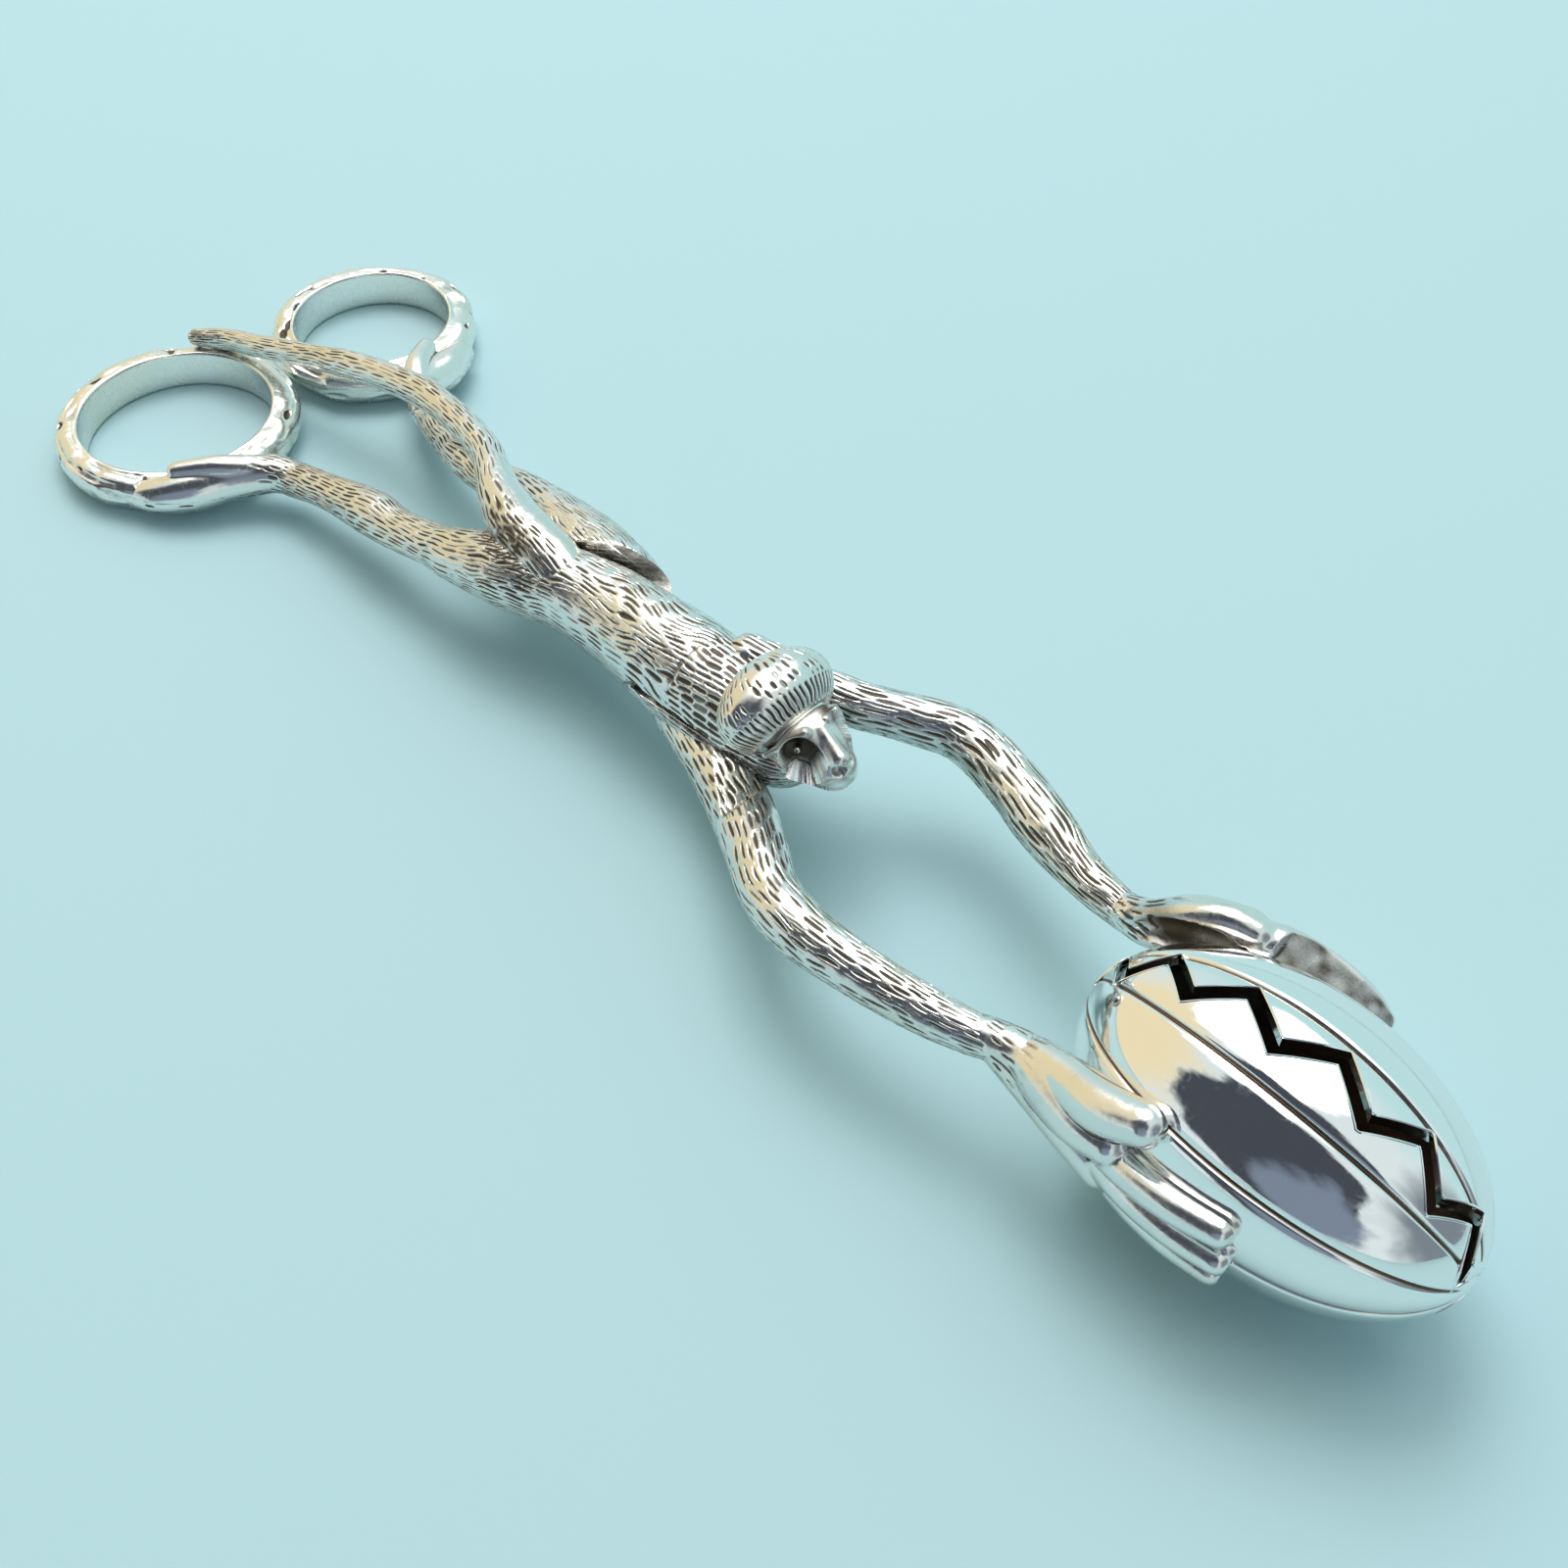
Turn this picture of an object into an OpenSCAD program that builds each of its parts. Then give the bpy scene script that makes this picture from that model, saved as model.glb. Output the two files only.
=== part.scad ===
// Scissor-action ice tongs with figural handles: each lever runs from a finger ring, up a leg,
// through half of a body that is lapped over the other half at the pivot, along an arm and a
// hand, to one half of a hollow egg-shaped gripping shell with a zigzag mouth.
// +X runs from the finger rings to the shell, +Z is up, z = 0 is the table, the pivot is at x = y = 0.

/* [Finger rings] */
// Distance from the pivot back to the ring centres
ring_x = 88.2; // [86:0.1:89]
// Inside radius of the near ring
near_ring_ri = 13; // [12:0.1:13.5]
// Outside radius of the near ring
near_ring_ro = 16.7; // [16:0.1:16.8]
// Inside radius of the far ring
far_ring_ri = 11.1; // [10.5:0.1:12]
// Outside radius of the far ring
far_ring_ro = 15; // [14:0.1:15.2]
// Sideways place of the near ring centre
near_ring_y = -16; // [-16.5:0.1:-15.9]
// Sideways place of the far ring centre
far_ring_y = 16.2; // [16.2:0.1:17]
// Height of both ring bands
ring_h = 5.5; // [4.5:0.1:6]

/* [Gripping shell] */
// Distance from the pivot to the middle of the shell
shell_x = 84; // [80:0.5:86]
// Half length of the shell along X
shell_a = 21; // [19:0.5:22]
// Largest radius of the shell, and the height of its middle above the table
shell_b = 13.6; // [13:0.1:14]
// Thickness of the shell wall
shell_wall = 1.4; // [1:0.1:1.6]
// Gap between the two rows of teeth when closed
tooth_gap = 1.7; // [1:0.1:1.9]
// Half height of the zigzag of the teeth
tooth_amp = 1.7; // [1:0.1:2]

/* [Body and pivot] */
// Height of the plane where the two half bodies lap
lap_z = 12.5; // [12:0.1:13]
// Gap between the lapped faces
lap_gap = 0.1; // [0.05:0.01:0.2]
// Gap between the closing stop faces on the hips
stop_gap = 0.12; // [0.1:0.01:0.2]
// Distance behind the pivot where the two stop faces meet
crotch_x = 21.6; // [20:0.1:23]
// Slope of the stop faces in plan
stop_slope = 0.45; // [0.4:0.01:0.5]
// Radius of the pivot screw's shank
screw_r = 2; // [1.5:0.1:2.5]
// Running clearance on the shank's radius
run_gap = 0.05; // [0.03:0.01:0.1]
// Radius of the pivot screw's head
screw_head_r = 3.4; // [3:0.1:3.6]
// Thickness of the pivot screw's head
screw_head_h = 1.5; // [1:0.1:1.6]
// Thickness of the spring washer
washer_h = 0.5; // [0.3:0.1:0.6]

/* [Hidden] */

fur_silver = [0.72, 0.71, 0.67];
bright_silver = [0.88, 0.89, 0.88];
worn_silver = [0.62, 0.60, 0.56];
reach = 60;            // half size of the blocks that cut zones apart
zone_top = 40;
head_floor_z = 6.5;    // underside of the screw head, just inside the belly
head_room = 0.2;       // clearance round the screw head and washer in their recess
washer_z = head_floor_z + screw_head_h;
belly_seat_z = washer_z + washer_h + run_gap;
shank_top = 17;
shoulder_x = 21.5;     // the lap reaches this far towards the shell
far_ring_x = -ring_x;

// Centre lines of the limbs: x, y, z and radius at each bend.
upper_spine = [[-30, -7.2, 11.5, 4], [-24, -5.3, 12, 4.8], [-17, -2.7, 12.5, 5.1],
               [-9, -1.3, 12.5, 5.7], [0, -0.8, 12.5, 6.3], [9, -0.3, 12.5, 6.2],
               [15, 0, 12.5, 5.4], [17.5, 0, 12.5, 4.4]];
lower_spine = [[-33, 4.6, 11, 3.7], [-24, 4, 12, 4.5], [-16, 2.8, 12.4, 5.2],
               [-8, 0.4, 12.5, 5.9], [0, -0.7, 12.5, 6.2], [9, -0.3, 12.5, 6.2],
               [15, 0, 12.5, 5.4], [17.5, 0, 12.5, 4.4]];
tail_line = [[-15, -2.8, 15.2, 3.6], [-20, -2.8, 15.6, 3.7], [-25, -2.6, 15.6, 3.5],
             [-29, -1.5, 15.8, 2.8], [-32.5, 0, 16, 2.3], [-36.5, 1.8, 16.1, 2.2],
             [-42, 3.9, 15.8, 2.1], [-52, 5.4, 14.8, 2.1], [-61, 5.5, 13.6, 2.1],
             [-71, 3.9, 12, 2], [-80, 1.5, 10.2, 1.8], [-88, -0.8, 8.5, 1.7],
             [-95, -3, 7.2, 1.6], [-99.5, -5.6, 6.5, 1.3]];
near_leg_line = [[-27, -6.4, 11.7, 4.3], [-32, -7.8, 11, 3.6], [-36.5, -8.4, 10, 2.9],
                 [-42.5, -9.3, 9, 2.8], [-49.5, -9.6, 8, 3.1], [-57.5, -10.4, 6.5, 2.5],
                 [-65, -11.8, 5.2, 2.5]];
far_leg_line = [[-30, 4.5, 11.3, 4], [-36, 4.9, 10.4, 3.4], [-42, 5, 9.4, 2.8],
                [-50.5, 6, 7.8, 2.8], [-58, 7.6, 6.2, 2.4], [-64, 9.6, 5.4, 2.5]];
near_arm_line = [[9, -4.6, 8.6, 3.4], [14, -6.2, 8.8, 3.6], [20, -8.4, 9.5, 3.8],
                 [26.7, -12, 11, 3.5], [32, -15, 12, 3.3], [37, -16.2, 12.6, 3.2],
                 [44, -16, 13, 2.9], [54, -14.2, 13.2, 2.5], [61, -12.2, 13.7, 2]];
far_arm_line = [[9, 3.2, 16, 3], [14, 4.6, 15.9, 3], [21, 7.4, 15.3, 2.8],
                [26.7, 11, 14.6, 2.9], [32, 13.6, 14, 3.1], [39, 12.8, 14, 3.2],
                [47, 10.5, 14, 3.1], [54, 8.7, 14, 2.4], [60.5, 8, 14.4, 2]];
near_foot_line = [[-62.6, -11.3, 5.6, 2.1], [-67.5, -13, 5.1, 2.6], [-71, -17.5, 4.5, 2.7],
                  [-73.4, -22, 3.8, 2.8], [-76.2, -25.6, 3.2, 2.5], [-79, -27.6, 2.8, 1.9]];
near_big_toe = [[-69, -14.6, 5.8, 2], [-72, -18.6, 6.4, 1.8], [-75.4, -22.8, 6.1, 1.4]];
far_foot_line = [[-61.8, 8.7, 5.8, 2.1], [-66.5, 10.4, 5.2, 2.6], [-70.6, 14, 4.4, 2.6],
                 [-72.6, 18.4, 3.8, 2.6], [-74.8, 22.2, 3.2, 1.9]];
far_big_toe = [[-68.8, 11, 5.8, 1.9], [-72.6, 13.6, 6.3, 1.8], [-75.6, 17.2, 6.1, 1.4]];
near_palm = [[59, -12.6, 13.6, 2], [64, -11.4, 14, 2.3], [68, -11.6, 14.8, 2.8], [72.5, -12.6, 15.2, 2.6]];
far_palm = [[58.5, 8.2, 14.2, 1.9], [62.5, 8.4, 15.2, 2.2], [66, 9.6, 17, 2.6], [70.5, 11.2, 19, 2.5]];

// Each digit: turn about the shell's axis at its root and at its tip, and how far it reaches
near_digits = [[-2, 14, 88], [-13, -1, 88.6], [-24, -16, 88], [-35, -30, 85.5]];
near_thumb = [12, 34, 79.5];
far_digits = [[27, 8, 84.6], [14, -6, 86], [1, -19, 86], [-11, -31, 84.5]];
far_thumb = [40, 44, 74];

// ---- Smooth tubes of changing radius along a centre line ----

function place(q) = [q[0], q[1], q[2]];
function unit(v) = v / norm(v);
// Catmull-Rom blend of four neighbouring bends
function between(a, b, c, d, t) =
    0.5 * (2 * b + (c - a) * t + (2 * a - 5 * b + 4 * c - d) * t * t + (3 * b - a - 3 * c + d) * t * t * t);
function smooth(line, steps) = let (last = len(line) - 1)
    [for (i = [0:last - 1], k = [0:steps - 1])
        between(line[max(i - 1, 0)], line[i], line[i + 1], line[min(i + 2, last)], k / steps),
     line[last]];
function heading(line, i) =
    unit(place(line[min(i + 1, len(line) - 1)]) - place(line[max(i - 1, 0)]));
function loop_at(centre, r, along, sides) =
    let (side = unit(cross([0, 0, 1], along)), lift = cross(along, side))
    [for (k = [0:sides - 1]) let (turn = 360 * k / sides)
        centre + r * cos(turn) * side + r * sin(turn) * lift];
// Loops that round off one end: direction is -1 at the start and 1 at the end
function cap(q, along, sides, direction, angles) =
    [for (a = angles) loop_at(place(q) + direction * along * q[3] * sin(a), q[3] * cos(a), along, sides)];
function tube_loops(line, sides) = let (last = len(line) - 1)
    concat(cap(line[0], heading(line, 0), sides, -1, [75, 50, 25]),
           [for (i = [0:last]) loop_at(place(line[i]), line[i][3], heading(line, i), sides)],
           cap(line[last], heading(line, last), sides, 1, [25, 50, 75]));
function tube_faces(count, sides) = concat(
    [[for (k = [0:sides - 1]) k]],
    [for (i = [0:count - 2], k = [0:sides - 1]) let (n = (k + 1) % sides)
        [i * sides + k, (i + 1) * sides + k, (i + 1) * sides + n]],
    [for (i = [0:count - 2], k = [0:sides - 1]) let (n = (k + 1) % sides)
        [i * sides + k, (i + 1) * sides + n, i * sides + n]],
    [[for (k = [sides - 1:-1:0]) (count - 1) * sides + k]]);

module tube(line, sides = 16, steps = 3) {
    loops = tube_loops(smooth(line, steps), sides);
    polyhedron(points = [for (l = loops, p = l) p], faces = tube_faces(len(loops), sides));
}

// Everything on the shell side (side = 1) or the ring side (side = -1) of the plane at x
module beyond(x, side) {
    translate([x + side * reach, 0, 0])
        cube([2 * reach, 4 * reach, 4 * reach], center = true);
}

// ---- Zones of the two half bodies ----

// Plan outline on the side sign (-1 near, 1 far) of a stop line with the given slope
module plan(sign, slope, shift) {
    far_end = crotch_x + reach;
    crotch_lean = 2;   // behind the crotch the line drifts this far to the near side
    polygon([[-reach, sign * reach], [-reach, shift - crotch_lean], [-crotch_x, shift],
             [reach, slope * far_end + shift], [reach, sign * reach]]);
}

module upper_zone() {
    translate([0, 0, lap_z + lap_gap / 2])
        linear_extrude(height = zone_top) plan(-1, stop_slope, -stop_gap / 2);
    linear_extrude(height = zone_top) plan(-1, -stop_slope, -stop_gap / 2);
}

module lower_zone() {
    linear_extrude(height = lap_z - lap_gap / 2) plan(1, -stop_slope, stop_gap / 2);
    linear_extrude(height = zone_top) plan(1, stop_slope, stop_gap / 2);
}

hip_cut_x = -28;       // planes where the legs are soldered to the hips

module upper_body() {
    intersection() {
        tube(upper_spine);
        upper_zone();
        beyond(hip_cut_x, 1);
    }
}

module lower_body() {
    intersection() {
        tube(lower_spine);
        lower_zone();
        beyond(hip_cut_x - 2, 1);
    }
}

module torso_upper() {
    color(fur_silver) difference() {
        upper_body();
        cylinder(r = screw_r, h = shank_top, $fn = 48);
    }
}

module torso_lower() {
    color(fur_silver) difference() {
        lower_body();
        cylinder(r = screw_r + run_gap, h = zone_top, $fn = 48);
        cylinder(r = screw_head_r + head_room, h = belly_seat_z, $fn = 48);
    }
}

module pivot_screw() {
    slot_w = 0.8;      // screwdriver slot
    slot_deep = 0.6;
    color(bright_silver) difference() {
        union() {
            translate([0, 0, head_floor_z]) cylinder(r = screw_head_r, h = screw_head_h, $fn = 48);
            translate([0, 0, washer_z]) cylinder(r = screw_r, h = shank_top - washer_z, $fn = 48);
        }
        translate([-reach, -slot_w / 2, head_floor_z - 1]) cube([2 * reach, slot_w, 1 + slot_deep]);
    }
}

module pivot_washer() {
    color(bright_silver) translate([0, 0, washer_z]) difference() {
        cylinder(r = screw_head_r, h = washer_h, $fn = 48);
        translate([0, 0, -1]) cylinder(r = screw_r + run_gap, h = washer_h + 2, $fn = 48);
    }
}

// ---- Head, lying along the front of the upper body ----

// Egg with three different half sizes, made of loops about X
module egg(size, sides = 16) {
    loops = [for (s = [-78:19.5:78]) [for (k = [0:sides - 1]) let (turn = 360 * k / sides)
        [size[0] * sin(s), size[1] * cos(s) * cos(turn), size[2] * cos(s) * sin(turn)]]];
    polyhedron(points = [for (l = loops, p = l) p], faces = tube_faces(len(loops), sides));
}

module head() {
    color(fur_silver) difference() {
        union() {
            translate([17.6, -0.4, 18.8]) rotate([0, 24, 4]) egg([4.7, 7, 5]);   // cap
            translate([22.4, -0.7, 17.4]) egg([4.6, 5, 3.8]);                    // face
            translate([26.8, -1.2, 16.4]) egg([3, 2.8, 2.9]);                    // muzzle
        }
        upper_body();
        far_arm_solid();
        translate([0, 0, lap_z + lap_gap / 2 - zone_top]) lapped_length();
    }
}

// ---- Limbs ----

// The tail belongs to the upper body, so it also has to clear the lower hip beside it, and it
// stops at the skin of the near leg
module tail() {
    color(fur_silver) difference() {
        tube(tail_line, 14);
        upper_body();
        tube(near_leg_line);
        tube([for (q = lower_spine) concat(place(q), [q[3] + stop_gap])]);
        near_ring_solid();
    }
}

module near_leg() {
    color(fur_silver) difference() {
        tube(near_leg_line);
        beyond(hip_cut_x, 1);
    }
}

module far_leg() {
    color(fur_silver) difference() {
        tube(far_leg_line);
        beyond(hip_cut_x - 2, 1);
    }
}

module far_arm_solid() {
    difference() {
        tube(far_arm_line);
        translate([0, 0, lap_z + lap_gap / 2 - zone_top]) lapped_length();
    }
}

// Block over the lapped length only, so that an arm's shoulder clears the other half body
module lapped_length() {
    translate([-reach, -reach, 0]) cube([reach + shoulder_x, 2 * reach, zone_top]);
}

module far_arm() {
    color(fur_silver) difference() {
        far_arm_solid();
        upper_body();
    }
}

module near_arm() {
    color(fur_silver) difference() {
        tube(near_arm_line);
        lower_body();
        translate([0, 0, lap_z - lap_gap / 2]) lapped_length();
    }
}

// ---- Finger rings ----

// Band with a flat bore and an outside that swells towards the top
module ring_band(ri, ro) {
    ease = 0.4;     // bevel of the two inner edges
    core = 1.2;     // width of the flat top and bottom next to the bore
    waist = 0.6;    // height of the widest place, as a share of the band's height
    outside = [for (a = [-90:15:90]) let (lean = a < 0 ? waist : 1 - waist)
        [ri + core + (ro - ri - core) * cos(a), ring_h * (waist + lean * sin(a))]];
    rotate_extrude($fn = 96)
        polygon(concat([[ri, ring_h - ease], [ri, ease], [ri + ease, 0]], outside, [[ri + ease, ring_h]]));
}

module near_ring_solid() {
    translate([-ring_x, near_ring_y, 0]) ring_band(near_ring_ri, near_ring_ro);
}

module far_ring_solid() {
    translate([far_ring_x, far_ring_y, 0]) ring_band(far_ring_ri, far_ring_ro);
}

module near_finger_ring() {
    color(worn_silver) near_ring_solid();
}

module far_finger_ring() {
    color(worn_silver) far_ring_solid();
}

// ---- Feet, gripping the ring bands from outside ----

// Clears a foot from the band and from the finger hole inside it
module ring_room(x, y, ri, ro) {
    translate([x, y, 0]) {
        ring_band(ri, ro);
        translate([0, 0, -1]) cylinder(r = ri + 0.1, h = zone_top, $fn = 96);
    }
}

module near_foot() {
    color(fur_silver) difference() {
        union() {
            tube(near_foot_line, 14);
            tube(near_big_toe, 12);
        }
        tube(near_leg_line);
        ring_room(-ring_x, near_ring_y, near_ring_ri, near_ring_ro);
    }
}

module far_foot() {
    color(fur_silver) difference() {
        union() {
            tube(far_foot_line, 14);
            tube(far_big_toe, 12);
        }
        tube(far_leg_line);
        ring_room(far_ring_x, far_ring_y, far_ring_ri, far_ring_ro);
    }
}

// ---- Hands, laid on the outside of the shell ----

// Centre of a digit lying on the shell at x, turned up from the horizontal; side is -1 near, 1 far
function on_shell(x, turn, side, lift) =
    let (out = shell_b * sqrt(1 - pow((x - shell_x) / shell_a, 2)) + lift)
    [x, side * out * cos(turn), shell_b + out * sin(turn)];
// Root, two joints and tip of a digit that starts at x = root and thins towards its tip
function digit_line(digit, root, side, r) = [for (t = [0, 0.35, 0.7, 1])
    let (x = root + (digit[2] - root) * t, turn = digit[0] + (digit[1] - digit[0]) * t)
    concat(on_shell(x, turn, side, 0.8 - 0.3 * t), [r * (1.05 - 0.3 * t * t)])];

module near_hand() {
    color(bright_silver) difference() {
        union() {
            tube(near_palm, 14);
            tube(digit_line(near_thumb, 68, -1, 2.1), 12, 2);
            for (digit = near_digits) tube(digit_line(digit, 71, -1, 1.7), 10, 2);
        }
        tube(near_arm_line);
        shell_solid(shell_a, shell_b);
    }
}

module far_hand() {
    color(bright_silver) difference() {
        union() {
            tube(far_palm, 14);
            tube(digit_line(far_thumb, 66, 1, 1.8), 12, 2);
            for (digit = far_digits) tube(digit_line(digit, 69, 1, 1.7), 10, 2);
        }
        tube(far_arm_line);
        shell_solid(shell_a, shell_b);
    }
}

// ---- Gripping shell: a hollow egg, long axis along X, cut in two by a zigzag ----

module shell_solid(a, b) {
    translate([shell_x, 0, shell_b]) rotate([0, 90, 0]) rotate_extrude($fn = 96)
        polygon([for (t = [-90:7.5:90]) [b * cos(t), a * sin(t)]]);
}

tooth_step = 13.15;    // turn of the ellipse between a tooth's tip and its root
first_tooth = -84.4;   // turn of the ellipse at the first corner of the zigzag
tooth_count = 13;      // flanks of the zigzag from end to end

// Zigzag edge of one half; shift moves it sideways by half the gap
function zigzag(shift) = [for (k = [0:tooth_count])
    [shell_x + shell_a * sin(first_tooth + tooth_step * k), shift + tooth_amp * (k % 2 == 0 ? -1 : 1)]];

module shell_half(sign) {
    edge = zigzag(sign * tooth_gap / 2);
    x0 = shell_x - shell_a - 2;
    x1 = shell_x + shell_a + 2;
    intersection() {
        difference() {
            shell_solid(shell_a, shell_b);
            shell_solid(shell_a - shell_wall, shell_b - shell_wall);
        }
        linear_extrude(height = zone_top)
            polygon(concat([[x0, sign * reach], [x0, edge[0][1]]], edge,
                           [[x1, edge[tooth_count][1]], [x1, sign * reach]]));
    }
}

module near_shell_half() {
    color(bright_silver) shell_half(-1);
}

module far_shell_half() {
    color(bright_silver) shell_half(1);
}

torso_upper();
head();
tail();
near_leg();
near_foot();
near_finger_ring();
far_arm();
far_hand();
far_shell_half();
pivot_screw();
pivot_washer();
torso_lower();
far_leg();
far_foot();
far_finger_ring();
near_arm();
near_hand();
near_shell_half();
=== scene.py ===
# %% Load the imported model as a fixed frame
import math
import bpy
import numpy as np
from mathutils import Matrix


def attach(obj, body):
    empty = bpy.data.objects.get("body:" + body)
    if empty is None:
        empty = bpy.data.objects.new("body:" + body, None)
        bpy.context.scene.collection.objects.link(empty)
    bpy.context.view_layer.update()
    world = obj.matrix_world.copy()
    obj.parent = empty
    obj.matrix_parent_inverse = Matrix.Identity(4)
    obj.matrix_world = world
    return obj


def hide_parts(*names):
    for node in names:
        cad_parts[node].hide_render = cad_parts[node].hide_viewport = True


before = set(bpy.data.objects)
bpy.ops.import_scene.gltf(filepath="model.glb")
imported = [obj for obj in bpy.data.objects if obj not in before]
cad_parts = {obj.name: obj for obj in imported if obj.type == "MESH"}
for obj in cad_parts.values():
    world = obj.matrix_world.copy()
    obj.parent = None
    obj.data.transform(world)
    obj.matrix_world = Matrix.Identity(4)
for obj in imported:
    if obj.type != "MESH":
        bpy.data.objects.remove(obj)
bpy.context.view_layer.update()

# %% [markdown]
# The tongs are two silver-plated castings that cross at a screw, like scissors. Everything is placed
# by the imported model's own numbers: millimetres along X (rings to shell), Y (across) and Z (up off
# the table), turned into metres only when a mesh is made. numpy does the sums, because it works on
# whole arrays of points at once.

MM = 0.001

# %% [markdown]
# ## Random height, without randomness
# Cast and hand-chased metal is never regular. The unevenness could come from Blender's own noise
# textures, but those only colour or bump a surface. Here it has to move the metal itself and to
# steer the engraver's strokes, so a small value noise is written in numpy. It always gives the same
# answer for the same place.

# %% Value noise
def chance(a, b=0.0, c=0.0, seed=0.0):
    """A number from 0 to 1 that looks random but belongs to its place: the fraction left of a large sine."""
    wave = np.sin(a * 12.9898 + b * 78.233 + c * 37.719 + seed * 9.17) * 43758.5453
    return wave - np.floor(wave)


def noise(points, size, seed=0.0):
    """Smooth height from -1 to 1: chance values on a cubic lattice of pitch `size` mm, blended between
    its eight corners with the weight 3t^2 - 2t^3 along each side."""
    place = points / size
    cell = np.floor(place)
    t = place - cell
    t = t * t * (3 - 2 * t)
    total = np.zeros(points.shape[:-1])
    for corner in np.ndindex(2, 2, 2):
        weight = np.prod(np.where(corner, t, 1 - t), axis=-1)
        at = cell + np.array(corner)
        total += weight * chance(at[..., 0], at[..., 1], at[..., 2], seed)
    return 2 * total - 1


def ease(low, high, value):
    """0 below low, 1 above high, and 3t^2 - 2t^3 between them."""
    t = np.clip((value - low) / (high - low), 0, 1)
    return t * t * (3 - 2 * t)


probe = noise(np.random.default_rng(1).uniform(-50, 50, (4000, 3)), 3.0)
print("noise from %.2f to %.2f" % (probe.min(), probe.max()))

# %% [markdown]
# ## From numbers to a piece
# A piece is a grid of points: rows along it, columns round it. The faces of the grid are the same
# for every piece, so one helper makes them, with a fan of triangles that closes each end. Blender
# can take points one at a time, but foreach_set hands it whole arrays, which is quick even for a
# hundred thousand of them. Each point also carries one number, "oxide": how much dark
# sulphide the silversmith left there, and in a few places how much painted shade darkens it.

# %% Mesh helpers
def grid_faces(rows, cols):
    """Quads between neighbouring rows and columns; the last column joins the first. They face outwards
    when the columns run anticlockwise seen from the last row's end."""
    row, col = np.meshgrid(np.arange(rows - 1), np.arange(cols), indexing="ij")
    after = (col + 1) % cols
    quads = [row * cols + col, row * cols + after, (row + 1) * cols + after, (row + 1) * cols + col]
    return np.stack(quads, -1).reshape(-1, 4)


def end_fans(rows, cols):
    """Triangles from one point beyond each end to the first and last row."""
    col = np.arange(cols)
    after = (col + 1) % cols
    first, last = rows * cols, rows * cols + 1
    start = np.stack([np.full(cols, first), after, col], -1)
    end = np.stack([np.full(cols, last), (rows - 1) * cols + col, (rows - 1) * cols + after], -1)
    return np.vstack([start, end])


def make_object(name, points, quads=(), tris=(), scale=MM, **fields):
    """Hands points (in mm), faces and one number a point for each field to a new mesh object."""
    quads = np.asarray(quads, np.int32).reshape(-1, 4)
    tris = np.asarray(tris, np.int32).reshape(-1, 3)
    corners = np.concatenate([quads.ravel(), tris.ravel()])
    starts = np.concatenate([np.arange(len(quads)) * 4, len(quads) * 4 + np.arange(len(tris)) * 3])
    mesh = bpy.data.meshes.new(name)
    mesh.vertices.add(len(points))
    mesh.vertices.foreach_set("co", np.ascontiguousarray(points * scale, np.float32).ravel())
    mesh.loops.add(len(corners))
    mesh.loops.foreach_set("vertex_index", corners.astype(np.int32))
    mesh.polygons.add(len(starts))
    mesh.polygons.foreach_set("loop_start", starts.astype(np.int32))
    mesh.update(calc_edges=True)
    for field, values in fields.items():
        mesh.attributes.new(field, "FLOAT", "POINT").data.foreach_set(
            "value", np.ascontiguousarray(values, np.float32).ravel())
    piece = bpy.data.objects.new(name, mesh)
    bpy.context.scene.collection.objects.link(piece)
    return piece


def closed_grid(name, grid, start, end, oxide):
    """A piece from a grid of points (rows, columns, 3) and the points that close its two ends."""
    rows, cols = grid.shape[:2]
    points = np.vstack([grid.reshape(-1, 3), start, end])
    dark = np.concatenate([np.asarray(oxide).ravel(), [oxide[0].mean(), oxide[-1].mean()]])
    return make_object(name, points, grid_faces(rows, cols), end_fans(rows, cols), oxide=dark)


def finish_piece(piece, material, body, node, crease=62):
    """Smooth shading with the true edges kept sharp, then the material, the body and the CAD node."""
    mesh = piece.data
    mesh.polygons.foreach_set("use_smooth", np.ones(len(mesh.polygons), bool))
    mesh.set_sharp_from_angle(angle=math.radians(crease))
    mesh.materials.clear()
    mesh.materials.append(material)
    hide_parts(node)
    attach(piece, body)
    triangles = len(mesh.loops) - 2 * len(mesh.polygons)
    print("%-12s %7d triangles, on %s" % (piece.name, triangles, body))
    return piece

# %% [markdown]
# ## Silver that has been left dark in its cuts
# The real finish is one metal in two states. The raised silver is rubbed bright, slightly yellow
# where the plate is thin, with hair scratches. The cuts hold black sulphide. Painting this by hand
# on an image would work, but the dark would not follow the cuts. So one material mixes the two
# states by the "oxide" number that each mesh carries, which also holds painted shade in
# a few crevices, and only breaks its edge up with fine noise.

# %% Material helpers
def node(tree, kind, **inputs):
    """A shader node with some of its sockets set; keys may use _ for a space."""
    n = tree.nodes.new(kind)
    for key, value in inputs.items():
        n.inputs[key.replace("_", " ")].default_value = value
    return n


def ramp(tree, source, low, high):
    """A Map Range that turns low..high into 0..1 smoothly."""
    n = node(tree, "ShaderNodeMapRange", From_Min=low, From_Max=high)
    n.interpolation_type = "SMOOTHSTEP"
    tree.links.new(source, n.inputs["Value"])
    return n.outputs["Result"]


def math_node(tree, operation, a, b):
    """One sum on two values, each a number or another node's output."""
    n = tree.nodes.new("ShaderNodeMath")
    n.operation = operation
    for socket, value in zip(n.inputs, (a, b)):
        if isinstance(value, (int, float)):
            socket.default_value = value
        else:
            tree.links.new(value, socket)
    return n.outputs[0]


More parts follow.
